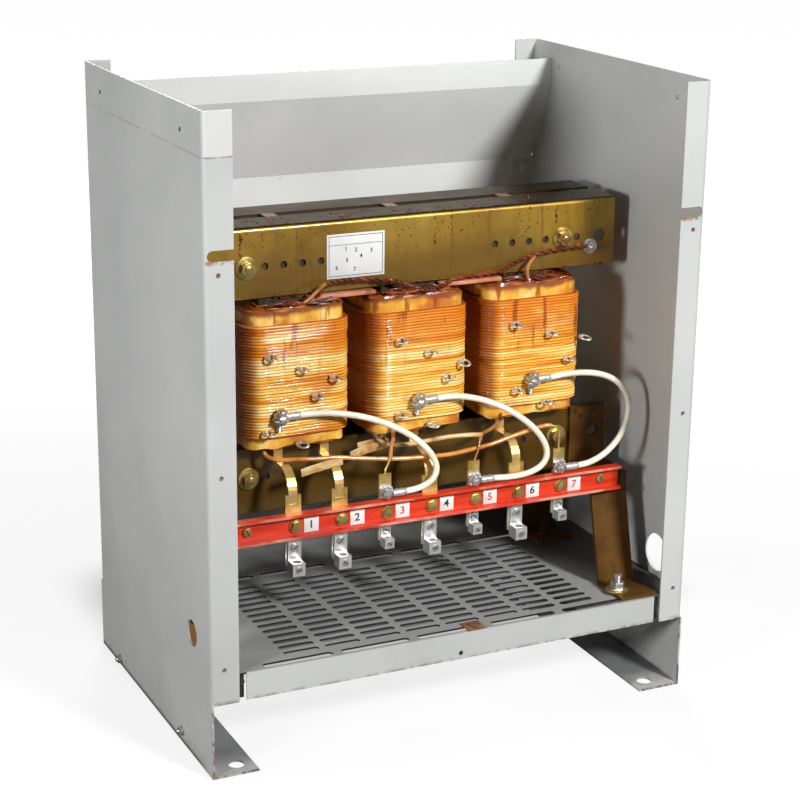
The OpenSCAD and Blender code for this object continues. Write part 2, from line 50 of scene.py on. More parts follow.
def placeCamera(c):
    ahead = Vector(c["ahead"]).normalized()
    level = ahead.cross(Vector((0, 0, 1))).normalized()
    upward = level.cross(ahead)
    roll = math.radians(c["rollDeg"])
    right = math.cos(roll) * level + math.sin(roll) * upward
    top = math.cos(roll) * upward - math.sin(roll) * level
    data = bpy.data.cameras.new("photoCamera")
    data.lens, data.sensor_width = c["lens"], c["sensor"]
    data.clip_end = 200
    cam = bpy.data.objects.new("photoCamera", data)
    cam.matrix_world = Matrix((right, top, -ahead)).transposed().to_4x4()
    cam.location = c["place"]
    scene.collection.objects.link(cam)
    scene.camera = cam


placeCamera(camera)
print("camera set")


# materials: small helpers first, then one function per finish
def newMaterial(name, rough=0.5, metal=0.0, coat=0.0, coatRough=0.1):
    m = bpy.data.materials.new(name)
    m.use_nodes = True
    shader = m.node_tree.nodes["Principled BSDF"]
    shader.inputs["Roughness"].default_value = rough
    shader.inputs["Metallic"].default_value = metal
    shader.inputs["Coat Weight"].default_value = coat
    shader.inputs["Coat Roughness"].default_value = coatRough
    return m, m.node_tree, shader


def objectCoords(tree):
    return tree.nodes.new("ShaderNodeTexCoord").outputs["Object"]


def grain(tree, scale, stretch=(1, 1, 1), detail=4, rough=0.55, distort=0.0, shift=(0, 0, 0)):
    place = tree.nodes.new("ShaderNodeMapping")
    place.inputs["Scale"].default_value = stretch
    place.inputs["Location"].default_value = shift
    tree.links.new(objectCoords(tree), place.inputs["Vector"])
    cloud = tree.nodes.new("ShaderNodeTexNoise")
    cloud.inputs["Scale"].default_value = scale
    cloud.inputs["Detail"].default_value = detail
    cloud.inputs["Roughness"].default_value = rough
    cloud.inputs["Distortion"].default_value = distort
    tree.links.new(place.outputs["Vector"], cloud.inputs["Vector"])
    return cloud.outputs["Fac"]


def ramp(tree, fac, stops):
    n = tree.nodes.new("ShaderNodeValToRGB")
    while len(n.color_ramp.elements) < len(stops):
        n.color_ramp.elements.new(0.5)
    for element, (at, colour) in zip(n.color_ramp.elements, stops):
        element.position = at
        element.color = (*colour, 1)
    tree.links.new(fac, n.inputs["Fac"])
    return n.outputs["Color"]


def mask(tree, fac, low, high, top=1.0):
    n = tree.nodes.new("ShaderNodeMapRange")
    n.interpolation_type = "SMOOTHSTEP"
    n.inputs["From Min"].default_value = low
    n.inputs["From Max"].default_value = high
    n.inputs["To Max"].default_value = top
    tree.links.new(fac, n.inputs["Value"])
    return n.outputs["Result"]


def patches(tree, scale, low, high, top=1.0, **how):  # blotches where the grain rises past low
    return mask(tree, grain(tree, scale, **how), low, high, top)


def combine(tree, how, a, b):
    n = tree.nodes.new("ShaderNodeMath")
    n.operation = how
    for socket, value in zip(n.inputs, (a, b)):
        if isinstance(value, (int, float)):
            socket.default_value = value
        else:
            tree.links.new(value, socket)
    return n.outputs["Value"]


def times(tree, first, *others):
    for factor in others:
        first = combine(tree, "MULTIPLY", first, factor)
    return first


def over(tree, under, colour, fac):
    n = tree.nodes.new("ShaderNodeMix")
    n.data_type = "RGBA"
    tree.links.new(fac, n.inputs["Factor"])
    tree.links.new(under, n.inputs["A"])
    if isinstance(colour, tuple):
        n.inputs["B"].default_value = (*colour, 1)
    else:
        tree.links.new(colour, n.inputs["B"])
    return n.outputs["Result"]


def axisOf(tree, axis, source="Object"):
    split = tree.nodes.new("ShaderNodeSeparateXYZ")
    if source == "Normal":
        tree.links.new(tree.nodes.new("ShaderNodeNewGeometry").outputs["Normal"], split.inputs["Vector"])
    else:
        tree.links.new(objectCoords(tree), split.inputs["Vector"])
    return split.outputs[axis]


def along(tree, axis, low, high, top=1.0):  # soft step along one axis
    return mask(tree, axisOf(tree, axis), low, high, top)


def bump(tree, shader, height, strength, distance=1 * mm):
    n = tree.nodes.new("ShaderNodeBump")
    n.inputs["Strength"].default_value = strength
    n.inputs["Distance"].default_value = distance
    tree.links.new(height, n.inputs["Height"])
    if shader.inputs["Normal"].is_linked:
        tree.links.new(shader.inputs["Normal"].links[0].from_socket, n.inputs["Normal"])
    tree.links.new(n.outputs["Normal"], shader.inputs["Normal"])


def roughFrom(tree, shader, fac, low, high):
    n = tree.nodes.new("ShaderNodeMapRange")
    n.inputs["To Min"].default_value = low
    n.inputs["To Max"].default_value = high
    tree.links.new(fac, n.inputs["Value"])
    tree.links.new(n.outputs["Result"], shader.inputs["Roughness"])


def paint(tree, shader, colour):
    tree.links.new(colour, shader.inputs["Base Color"])


def cabinetPaint(name, paintedLight=1.0, dirt=0.0, roofLine=False, corner=False):
    m, tree, shader = newMaterial(name, rough=0.42)
    mottle = grain(tree, 7, detail=6)
    # the lightness factor scales the one grey paint for the light this part gets: painted light
    colour = ramp(tree, mottle, [(0.3, (0.465 * paintedLight, 0.475 * paintedLight, 0.468 * paintedLight)),
                                 (0.7, (0.525 * paintedLight, 0.532 * paintedLight, 0.52 * paintedLight))])
    specks = patches(tree, 160, 0.70, 0.76, 0.35, detail=3)
    colour = over(tree, colour, (0.22, 0.18, 0.13), specks)
    scratches = patches(tree, 22, 0.69, 0.74, 0.3, stretch=(1, 1, 26), detail=5, shift=(3, 1, 2))
    colour = over(tree, colour, (0.63, 0.62, 0.6), scratches)
    stains = patches(tree, 14, 0.60, 0.78, 0.2 + dirt, detail=8, rough=0.65, shift=(1, 5, 3))
    colour = over(tree, colour, (0.27, 0.25, 0.215), stains)
    height = axisOf(tree, "Z")
    if roofLine:  # band that the roof covered on the flange, with a rub line under it
        flange = along(tree, "Y", -0.1835, -0.187)
        covered = times(tree, mask(tree, height, 0.6425, 0.6435, 0.5), flange)
        colour = over(tree, colour, (0.60, 0.60, 0.585), covered)
        side = mask(tree, axisOf(tree, "X", "Normal"), -0.5, -0.9, 0.5)  # fainter on the panel's side
        rub = times(tree, mask(tree, height, 0.6405, 0.6415), mask(tree, height, 0.6435, 0.6425),
                    patches(tree, 60, 0.40, 0.56, 0.75), combine(tree, "MAXIMUM", flange, side))
        colour = over(tree, colour, (0.24, 0.17, 0.10), rub)
        # darker in blotches towards the bottom of the panel: painted shade
        lowShade = times(tree, mask(tree, height, 0.34, 0.06), patches(tree, 5, 0.2, 0.6, 0.4, detail=4))
        colour = over(tree, colour, (0.30, 0.30, 0.285), lowShade)
        rust = times(tree, mask(tree, height, 0.16, 0.0), patches(tree, 38, 0.5, 0.7, 0.6, detail=7),
                     along(tree, "Y", -0.178, -0.187))
        colour = over(tree, colour, (0.20, 0.11, 0.05), rust)
    if corner:  # the floor: painted shadow towards its rear right
        rear = combine(tree, "ADD", axisOf(tree, "X"), times(tree, axisOf(tree, "Y"), 0.35))
        colour = over(tree, colour, (0.03, 0.028, 0.024), mask(tree, rear, 0.15, 0.215, 0.9))
        paintedRearLight = times(tree, along(tree, "Y", 0.10, 0.14), along(tree, "X", 0.16, 0.02, 0.9))
        colour = over(tree, colour, (0.78, 0.78, 0.76), paintedRearLight)  # painted light on the floor behind the last row of slots
        slotWallShade = mask(tree, combine(tree, "ABSOLUTE", axisOf(tree, "Z", "Normal"), 0), 0.6, 0.3)
        colour = over(tree, colour, (0.012, 0.012, 0.014), slotWallShade)  # painted shade on the cut edges of the slots, so the slots look dark
        spill = times(tree, along(tree, "X", -0.232, -0.246), along(tree, "Y", -0.135, -0.115),
                      along(tree, "Y", 0.0, -0.03), patches(tree, 30, 0.3, 0.5, 0.95, detail=5))
        colour = over(tree, colour, (0.27, 0.13, 0.025), spill)  # spilled varnish by the left panel
    notch = times(tree, mask(tree, height, 0.5375, 0.5415), mask(tree, height, 0.5445, 0.5430),
                  along(tree, "Y", -0.184, -0.1872), patches(tree, 130, 0.44, 0.58, 0.85, detail=4))
    colour = over(tree, colour, (0.26, 0.10, 0.045), notch)  # chipped lower edge of the flange notch
    chips = times(tree, mask(tree, height, 0.088, 0.080), along(tree, "Y", -0.1855, -0.1874),
                  patches(tree, 120, 0.42, 0.56, 0.9, stretch=(1, 1, 0.5), detail=5))
    colour = over(tree, colour, (0.12, 0.055, 0.025), chips)  # along the lower front edge
    foot = times(tree, mask(tree, height, 0.022, 0.0), patches(tree, 50, 0.42, 0.68, 0.55, detail=6))
    colour = over(tree, colour, (0.30, 0.25, 0.19), foot)
    under = times(tree, mask(tree, height, 0.006, 0.003), along(tree, "Y", -0.186, -0.135, 0.8))
    colour = over(tree, colour, (0.07, 0.075, 0.08), under)  # painted shade on the foot flange under the cabinet
    paint(tree, shader, colour)
    roughFrom(tree, shader, mottle, 0.36, 0.54)
    bump(tree, shader, grain(tree, 700, detail=2), 0.06, 0.4 * mm)
    bump(tree, shader, grain(tree, 9, detail=3), 0.25, 2 * mm)
    return m


def clampVarnish(name, bright=1.0):
    m, tree, shader = newMaterial(name, rough=0.34, metal=0.45, coat=0.5, coatRough=0.14)
    cloud = grain(tree, 9, stretch=(1.6, 1.6, 1), detail=6, rough=0.6)
    # bright scales the varnish colours for the light the clamp gets: painted light
    face = ramp(tree, cloud, [(0.30, (0.185 * bright, 0.10 * bright, 0.008 * bright)),
                              (0.52, (0.275 * bright, 0.162 * bright, 0.016 * bright)),
                              (0.72, (0.36 * bright, 0.235 * bright, 0.040 * bright))])
    runs = patches(tree, 16, 0.58, 0.68, 0.6, stretch=(7, 7, 0.5), detail=4, distort=0.3, shift=(4, 0, 1))
    face = over(tree, face, (0.20, 0.06, 0.006), runs)
    smears = patches(tree, 20, 0.50, 0.66, 0.55, stretch=(1, 1, 0.7), detail=7, rough=0.66, shift=(8, 2, 5))
    face = over(tree, face, (0.13 * bright, 0.068 * bright, 0.008), smears)
    glints = patches(tree, 210, 0.71, 0.75, 0.5, detail=2)
    face = over(tree, face, (0.66, 0.50, 0.20), glints)
    dull = ramp(tree, grain(tree, 26, detail=7, rough=0.65),
                [(0.35, (0.045, 0.022, 0.005)), (0.55, (0.14, 0.085, 0.022)), (0.75, (0.29, 0.20, 0.075))])
    # top flange darker towards the right end: painted shade
    dull = over(tree, dull, (0.045, 0.03, 0.014), along(tree, "X", 0.02, 0.16, 0.6))
    facing = mask(tree, axisOf(tree, "Z", "Normal"), 0.55, 0.9)
    low = combine(tree, "SUBTRACT", axisOf(tree, "Z"), times(tree, grain(tree, 12, detail=5), 0.05))
    brown = (0.12 * bright, 0.06 * bright, 0.006)
    face = over(tree, face, brown, mask(tree, low, 0.500, 0.455, 0.75))  # darker and browner low down, so the face stays brighter near the top bend: painted reflection
    inner = mask(tree, combine(tree, "ABSOLUTE", axisOf(tree, "Y"), 0), 0.049, 0.044)
    face = over(tree, face, (0.035, 0.016, 0.005), inner)  # painted shade: the flange edges over the core, in the gap between the clamps, are darkened
    paint(tree, shader, over(tree, face, dull, facing))
    tree.links.new(mask(tree, facing, 0.0, 1.0, 0.9), shader.inputs["Metallic"])
    shader.inputs["Metallic"].links[0].from_node.inputs["To Min"].default_value = 0.45
    tree.links.new(combine(tree, "SUBTRACT", 0.5, times(tree, facing, 0.42)), shader.inputs["Coat Weight"])
    roughFrom(tree, shader, cloud, 0.26, 0.46)
    bump(tree, shader, grain(tree, 30, stretch=(1, 1, 0.4), detail=5), 0.3, 0.8 * mm)
    return m


def turnVarnish(name):
    m, tree, shader = newMaterial(name, rough=0.45, coat=0.24, coatRough=0.04)
    shader.inputs["Specular IOR Level"].default_value = 0.15
    bands = grain(tree, 9, stretch=(0.7, 0.7, 20), detail=5, rough=0.62)
    colour = ramp(tree, bands, [(0.36, (0.52, 0.13, 0.004)), (0.44, (0.76, 0.30, 0.014)),
                                (0.52, (0.86, 0.50, 0.085)), (0.62, (0.92, 0.71, 0.31))])
    soak = patches(tree, 13, 0.54, 0.66, 0.75, stretch=(1, 1, 1.6), detail=6, shift=(2, 7, 5))
    colour = over(tree, colour, (0.58, 0.16, 0.006), soak)
    topSoak = times(tree, along(tree, "Z", 0.392, 0.425),
                    patches(tree, 16, 0.34, 0.52, 0.9, detail=5, shift=(1, 1, 6)))
    colour = over(tree, colour, (0.66, 0.18, 0.004), topSoak)
    drips = grain(tree, 34, stretch=(2.4, 2.4, 0.3), detail=4, distort=0.2, shift=(7, 3, 2))
    drips = times(tree, mask(tree, drips, 0.58, 0.65, 0.85), along(tree, "Z", 0.372, 0.415))
    colour = over(tree, colour, (0.27, 0.04, 0.002), drips)
    # sides that face left are darker red: painted shade
    colour = over(tree, colour, (0.22, 0.035, 0.003), mask(tree, axisOf(tree, "X", "Normal"), -0.12, -0.7, 0.88))
    crest = tree.nodes.new("ShaderNodeAttribute")
    crest.attribute_name = "crest"
    colour = over(tree, colour, (0.20, 0.045, 0.006), mask(tree, crest.outputs["Fac"], 0.6, 0.0, 0.85))
    paint(tree, shader, colour)
    roughFrom(tree, shader, bands, 0.35, 0.55)
    bump(tree, shader, grain(tree, 140, stretch=(1, 1, 3), detail=5), 0.7, 0.8 * mm)
    return m


def collarPaper(name):
    m, tree, shader = newMaterial(name, rough=0.4, coat=0.55, coatRough=0.06)
    fibres = grain(tree, 40, stretch=(1, 1, 0.6), detail=7, rough=0.62)
    colour = ramp(tree, fibres, [(0.32, (0.60, 0.23, 0.012)), (0.52, (0.84, 0.46, 0.055)),
                                 (0.72, (0.93, 0.70, 0.27))])
    soak = patches(tree, 24, 0.46, 0.60, 0.9, detail=6, shift=(6, 2, 4))
    colour = over(tree, colour, (0.48, 0.12, 0.006), soak)
    ragged = combine(tree, "ADD", axisOf(tree, "Z"), times(tree, grain(tree, 42, detail=5), 0.014))
    topEdge = mask(tree, ragged, 0.458, 0.464, 0.9)  # varnish on the torn top edge
    colour = over(tree, colour, (0.20, 0.032, 0.003), topEdge)
    drips = patches(tree, 40, 0.55, 0.62, 0.85, stretch=(2.2, 2.2, 0.4), detail=4, shift=(3, 8, 1))
    colour = over(tree, colour, (0.26, 0.04, 0.003), times(tree, drips, along(tree, "Z", 0.43, 0.45)))
    paint(tree, shader, colour)
    roughFrom(tree, shader, fibres, 0.25, 0.55)
    bump(tree, shader, grain(tree, 80, detail=6), 0.9, 1.2 * mm)
    return m


def darkVarnish(name, warm=1.0):
    m, tree, shader = newMaterial(name, rough=0.25, coat=0.5, coatRough=0.03)
    shader.inputs["Specular IOR Level"].default_value = 0.2
    pools = grain(tree, 46, stretch=(1, 1, 2), detail=6)
    middle = (0.13 + 0.11 * warm, 0.022 + 0.023 * warm, 0.005)
    bright = (0.28 + 0.38 * warm, 0.06 + 0.18 * warm, 0.018 + 0.012 * warm)
    paint(tree, shader, ramp(tree, pools, [(0.3, (0.05, 0.008, 0.002)), (0.5, middle), (0.70, bright)]))
    roughFrom(tree, shader, pools, 0.16, 0.4)
    bump(tree, shader, grain(tree, 130, detail=5), 0.6, 1 * mm)
    return m


def flatFinish(name, low, high, scale, rough, metal=0.0, coat=0.0, stain=None, stainScale=30, stainAt=0.6,
               bumpSize=0.25, stretch=(1, 1, 1), gloss=0.5):
    m, tree, shader = newMaterial(name, metal=metal, coat=coat)
    shader.inputs["Specular IOR Level"].default_value = gloss
    cloud = grain(tree, scale, stretch=stretch, detail=5)
    colour = ramp(tree, cloud, [(0.32, low), (0.70, high)])
    if stain:
        spots = grain(tree, stainScale, detail=6, shift=(2, 3, 1))
        colour = over(tree, colour, stain, mask(tree, spots, stainAt, stainAt + 0.09, 0.8))
    paint(tree, shader, colour)
    roughFrom(tree, shader, cloud, rough - 0.08, rough + 0.12)
    bump(tree, shader, grain(tree, scale * 3, stretch=stretch, detail=3), bumpSize, 0.5 * mm)
    return m


def boardRed(name):
    m, tree, shader = newMaterial(name, rough=0.42, coat=0.12, coatRough=0.15)
    fibres = grain(tree, 60, stretch=(0.35, 1, 2.5), detail=7, rough=0.65)
    colour = ramp(tree, fibres, [(0.3, (0.42, 0.018, 0.004)), (0.5, (0.60, 0.032, 0.007)),
                                 (0.72, (0.72, 0.06, 0.014))])
    lip = along(tree, "Y", -0.1186, -0.1198)  # worn front of the lips
    scuff = times(tree, lip, patches(tree, 45, 0.46, 0.66, 0.6, stretch=(0.5, 1, 1), detail=7))
    colour = over(tree, colour, (0.80, 0.42, 0.30), scuff)
    paint(tree, shader, colour)
    roughFrom(tree, shader, fibres, 0.25, 0.5)
    bump(tree, shader, fibres, 0.3, 0.5 * mm)
    return m


def coreSteel(name):
    m, tree, shader = newMaterial(name, rough=0.5, metal=0.4, coat=0.3)
    sheets = tree.nodes.new("ShaderNodeTexWave")
    sheets.bands_direction = "Y"
    sheets.inputs["Scale"].default_value = 320
    sheets.inputs["Distortion"].default_value = 1.5
    tree.links.new(objectCoords(tree), sheets.inputs["Vector"])
    colour = ramp(tree, sheets.outputs["Fac"], [(0.1, (0.035, 0.024, 0.014)), (0.8, (0.15, 0.11, 0.065))])
    colour = over(tree, colour, (0.17, 0.06, 0.015), patches(tree, 22, 0.54, 0.68, 0.7, detail=6))
    paint(tree, shader, colour)
    bump(tree, shader, sheets.outputs["Fac"], 0.5, 0.5 * mm)
    return m


def twoTone(name, split):  # varnished gold above split, tinned below, gold on the left edge
    m, tree, shader = newMaterial(name, metal=0.7, coat=0.2)
    cloud = grain(tree, 70, detail=5)
    gold = ramp(tree, cloud, [(0.32, (0.48, 0.27, 0.05)), (0.70, (0.82, 0.60, 0.20))])
    tin = ramp(tree, cloud, [(0.32, (0.62, 0.59, 0.54)), (0.70, (0.85, 0.83, 0.79))])
    ragged = combine(tree, "ADD", axisOf(tree, "Z"), times(tree, grain(tree, 60), 0.012))
    above = mask(tree, ragged, split + 0.006, split + 0.010)
    edge = mask(tree, axisOf(tree, "X", "Normal"), -0.5, -0.8)
    paint(tree, shader, over(tree, tin, gold, combine(tree, "MAXIMUM", above, edge)))
    roughFrom(tree, shader, cloud, 0.24, 0.42)
    bump(tree, shader, grain(tree, 200, detail=3), 0.25, 0.5 * mm)
    return m


def sleeveWhite(name):
    m, tree, shader = newMaterial(name, rough=0.55)
    cloud = grain(tree, 55, detail=5)
    colour = ramp(tree, cloud, [(0.32, (0.72, 0.64, 0.49)), (0.6, (0.84, 0.79, 0.67))])
    dirt = patches(tree, 34, 0.62, 0.74, 0.6, detail=5, shift=(5, 2, 8))
    colour = over(tree, colour, (0.62, 0.40, 0.16), dirt)
    paint(tree, shader, colour)
    bump(tree, shader, grain(tree, 900, detail=2), 0.25, 0.3 * mm)
    return m


finish = {
    # the cabinet parts share one grey paint; their lightness factors make lit and shaded copies of it: painted light
    "panel": cabinetPaint("panelPaint", paintedLight=0.87, roofLine=True),
    "rightPanel": cabinetPaint("rightPanelPaint", paintedLight=1.03),
    "cover": cabinetPaint("coverPaint", paintedLight=1.28),
    "floor": cabinetPaint("floorPaint", paintedLight=0.6, dirt=0.45, corner=True),
    "sill": cabinetPaint("sillPaint", paintedLight=0.9, dirt=0.1),
    # the two clamps share one varnish; bright makes a lit copy for the upper clamp and a shaded copy for the lower one:
    # painted light
    "clamp": clampVarnish("clampVarnish", bright=1.3),
    "lowClamp": clampVarnish("lowClampVarnish", bright=0.75),
    "turns": turnVarnish("turnVarnish"),
    "paper": collarPaper("collarPaper"),
    "resin": darkVarnish("darkVarnish"),
    "redResin": darkVarnish("redVarnish", warm=0.0),
    "stand": flatFinish("standVarnish", (0.05, 0.019, 0.003), (0.125, 0.058, 0.011), 24, 0.42, metal=0.1, coat=0.06,
                        stain=(0.05, 0.018, 0.004), gloss=0.15),
    "tan": flatFinish("tanInsulation", (0.42, 0.24, 0.10), (0.66, 0.46, 0.25), 60, 0.6, stain=(0.25, 0.09, 0.02)),
    "board": boardRed("boardRed"),
    "strap": flatFinish("strapVarnish", (0.48, 0.27, 0.06), (0.80, 0.58, 0.24), 38, 0.32, metal=0.55, coat=0.4,
                        stain=(0.36, 0.14, 0.03), stainAt=0.62),
    "tin": flatFinish("plateTin", (0.55, 0.51, 0.44), (0.80, 0.77, 0.70), 70, 0.34, metal=0.75,
                      stain=(0.55, 0.36, 0.13), stainAt=0.66),
    "alloy": flatFinish("lugAlloy", (0.58, 0.575, 0.555), (0.78, 0.775, 0.755), 120, 0.33, metal=0.7,
                        stain=(0.40, 0.36, 0.29), stainScale=70, stainAt=0.66),
    "white": sleeveWhite("sleeveWhite"),
    "amber": flatFinish("amberVarnish", (0.46, 0.13, 0.015), (0.78, 0.36, 0.07), 50, 0.28, coat=0.8,
                        stain=(0.22, 0.05, 0.008)),
    "zinc": flatFinish("zincYellow", (0.40, 0.28, 0.08), (0.66, 0.52, 0.20), 90, 0.3, metal=0.85,
                       stain=(0.25, 0.12, 0.03)),
    "steel": flatFinish("brightSteel", (0.50, 0.49, 0.47), (0.74, 0.73, 0.71), 110, 0.3, metal=0.9,
                        stain=(0.30, 0.24, 0.18)),
    "rust": flatFinish("rustySteel", (0.13, 0.06, 0.025), (0.36, 0.20, 0.10), 110, 0.7, metal=0.3,
                       stain=(0.42, 0.36, 0.30)),
    "core": coreSteel("coreSteel"),
    "pink": flatFinish("stripInsulation", (0.42, 0.13, 0.06), (0.66, 0.27, 0.15), 60, 0.5, coat=0.3,
                       stain=(0.25, 0.06, 0.02)),
    "sticker": flatFinish("stickerPaper", (0.68, 0.68, 0.66), (0.76, 0.76, 0.75), 40, 0.5, bumpSize=0.08),
    "ink": flatFinish("blackInk", (0.018, 0.017, 0.016), (0.035, 0.033, 0.03), 200, 0.5, bumpSize=0.05),
    "redInk": flatFinish("redInk", (0.55, 0.03, 0.02), (0.66, 0.05, 0.035), 200, 0.5, bumpSize=0.05),
    "strapPlate": twoTone("strapPlateTin", 0.230),
    "leadPlate": twoTone("leadPlateTin", 0.262),
    "tail": flatFinish("tailVarnish", (0.20, 0.055, 0.010), (0.48, 0.20, 0.055), 60, 0.32, coat=0.7,
                       stain=(0.10, 0.02, 0.005)),
    "wrap": flatFinish("wrapPaper", (0.44, 0.24, 0.07), (0.76, 0.55, 0.26), 50, 0.45, coat=0.4,
                       stain=(0.34, 0.12, 0.02), stretch=(1, 1, 3)),
    # near-black finish: painted shade in screw slots and holes, and on the sill angles
    "shadeBlack": flatFinish("shadeBlackFinish", (0.012, 0.010, 0.008), (0.03, 0.025, 0.02), 90, 0.9, bumpSize=0.05),
}
print("finishes made:", len(finish))


# piece helpers
def addPiece(name, bm, look, replaced=(), sharp=35):
    bmesh.ops.remove_doubles(bm, verts=bm.verts, dist=0.002 * mm)
    bmesh.ops.recalc_face_normals(bm, faces=bm.faces)
    mesh = bpy.data.meshes.new(name)
    bm.to_mesh(mesh)
    bm.free()
    for face in mesh.polygons:
        face.use_smooth = True
    mesh.set_sharp_from_angle(angle=math.radians(sharp))
    mesh.materials.append(finish[look])
    obj = bpy.data.objects.new(name, mesh)
    scene.collection.objects.link(obj)
    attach(obj, "root")
    if replaced:
        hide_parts(*replaced)
    return obj


def aim(place, axis, turn=0.0):  # matrix that stands +Z of a shape along axis
    spin = Vector(axis).normalized().to_track_quat("Z", "Y").to_matrix().to_4x4()
    return Matrix.Translation(Vector(place) * mm) @ spin @ Matrix.Rotation(turn, 4, "Z")


def shiftAlong(matrix, step):
    return matrix @ Matrix.Translation((0, 0, step * mm))


def addDisc(bm, matrix, radius, depth, sides=28, soft=0.25):
    made = bmesh.ops.create_cone(bm, cap_ends=True, segments=sides, radius1=radius * mm, radius2=radius * mm,
                                 depth=depth * mm, matrix=shiftAlong(matrix, depth / 2))
    if soft:
        around = {e for v in made["verts"] for e in v.link_edges}
        rims = [e for e in around if any(len(f.verts) > 4 for f in e.link_faces)]
        bmesh.ops.bevel(bm, geom=rims, offset=soft * mm, offset_type="OFFSET", segments=2, profile=0.5,
                        affect="EDGES", material=-1, clamp_overlap=True)


def addBox(bm, low, high, soft=0.3, matrix=None):
    low, high = Vector(low), Vector(high)
    place = Matrix.Translation((low + high) / 2 * mm) @ Matrix.Diagonal((*((high - low) * mm), 1))
    made = bmesh.ops.create_cube(bm, size=1.0, matrix=(matrix or Matrix()) @ place)
    if soft:
        edges = list({e for v in made["verts"] for e in v.link_edges})
        bmesh.ops.bevel(bm, geom=edges, offset=soft * mm, offset_type="OFFSET", segments=2, profile=0.5,
                        affect="EDGES", material=-1, clamp_overlap=True)


def addHex(bm, matrix, across, depth):
    addDisc(bm, matrix @ Matrix.Rotation(0.3, 4, "Z"), across / math.sqrt(3), depth, sides=6, soft=0.5)


def addBolt(bm, place, axis, across=13, depth=6, washer=9, stud=0, studRadius=None, turn=0.0):
    m = aim(place, axis, turn)
    addDisc(bm, m, washer, 1.6)
    addHex(bm, shiftAlong(m, 1.6), across, depth)
    if stud:
        addThread(bm, shiftAlong(m, 1.6 + depth - 0.5), studRadius or across * 0.3, stud)


def addThread(bm, matrix, radius, length, pitch=1.25):
    rings = max(2, int(length / pitch))
    verts = [bm.verts.new(matrix @ Vector((0, 0, 0)))]
    for i in range(rings):
        verts.append(bm.verts.new(matrix @ Vector((radius * 0.86 * mm, 0, i * pitch * mm))))
        verts.append(bm.verts.new(matrix @ Vector((radius * mm, 0, (i + 0.5) * pitch * mm))))
    verts.append(bm.verts.new(matrix @ Vector((radius * 0.7 * mm, 0, rings * pitch * mm))))
    verts.append(bm.verts.new(matrix @ Vector((0, 0, rings * pitch * mm))))
    edges = [bm.edges.new(pair) for pair in zip(verts, verts[1:])]
    bmesh.ops.spin(bm, geom=verts + edges, cent=matrix.translation, axis=matrix.to_3x3() @ Vector((0, 0, 1)),
                   angle=math.tau, steps=16, use_merge=True)


def addRing(bm, matrix, radius, wire, steps=20, sides=8, stretch=1.0):  # wire loop, longer along X where stretched
    raised = Matrix.Translation((radius * mm, 0, 0)) @ Matrix.Rotation(math.pi / 2, 4, "X")
    made = bmesh.ops.create_circle(bm, segments=sides, radius=wire * mm, matrix=raised)
    rim = made["verts"]
    edges = list({e for v in rim for e in v.link_edges})
    before = set(bm.verts)
    bmesh.ops.spin(bm, geom=rim + edges, cent=(0, 0, 0), axis=(0, 0, 1), angle=math.tau, steps=steps, use_merge=True)
    loop = [v for v in bm.verts if v not in before or v in rim]
    bmesh.ops.transform(bm, matrix=matrix @ Matrix.Diagonal((stretch, 1, 1, 1)), verts=loop)


def routeCurve(name, points, diameter, sides=3):
    data = bpy.data.curves.new(name, "CURVE")
    data.dimensions = "3D"
    data.bevel_depth = diameter / 2 * mm
    data.bevel_resolution = sides
    data.resolution_u = 5
    data.use_fill_caps = True
    line = data.splines.new("BEZIER")
    line.bezier_points.add(len(points) - 1)
    for knot, place in zip(line.bezier_points, points):
        knot.co = Vector(place) * mm
        knot.handle_left_type = knot.handle_right_type = "AUTO"
    obj = bpy.data.objects.new(name, data)
    scene.collection.objects.link(obj)
    return obj


def takeMesh(bm, obj, matrix=Matrix()):  # moves the final mesh of a curve or text into bm
    shape = obj.evaluated_get(bpy.context.evaluated_depsgraph_get())
    mesh = bpy.data.meshes.new_from_object(shape)
    mesh.transform(matrix)
    bm.from_mesh(mesh)
    bpy.data.meshes.remove(mesh)
    bpy.data.curves.remove(obj.data)


def curveMesh(name, routes, diameter, look, replaced=()):  # fixed wires of one gauge, as one mesh
    bm = bmesh.new()
    for points in routes:
        takeMesh(bm, routeCurve(name + "Line", points, diameter))
    addPiece(name, bm, look, replaced, sharp=60)


# crimp lugs and the three white leads
lead = {"diameter": 6.8, "legPitch": 140, "steps": 18,
        "coilEnds": [(-142.4, -89, 346.2), (17.12, -89, 344.99), (155.9, -89, 352.25)],
        "plateEnds": [(-31, -114, 254), (75, -114, 254), (181, -114, 254)],
        "coilHandles": [(0.83, -0.07, 0.03), (0.61, -0.07, 0.08), (0.96, -0.17, 0.17)],
        "plateHandles": [(0.6, -0.09, 0.05), (0.99, -0.08, -0.09), (0.48, -0.07, 0.02)],
        "lengths": [0.2215, 0.2312, 0.2094]}
crimp = {"barrel": 16, "barrelRadius": 4, "tongue": 12, "thick": 2}


def leadRoute(k):
    a, d = Vector(lead["coilEnds"][k]), Vector(lead["plateEnds"][k])
    b = a + Vector(lead["coilHandles"][k]) * lead["legPitch"]
    c = d + Vector(lead["plateHandles"][k]) * lead["legPitch"]
    shares = [i / lead["steps"] for i in range(lead["steps"] + 1)]
    return [(1 - t) ** 3 * a + 3 * (1 - t) ** 2 * t * b + 3 * (1 - t) * t * t * c + t ** 3 * d for t in shares]


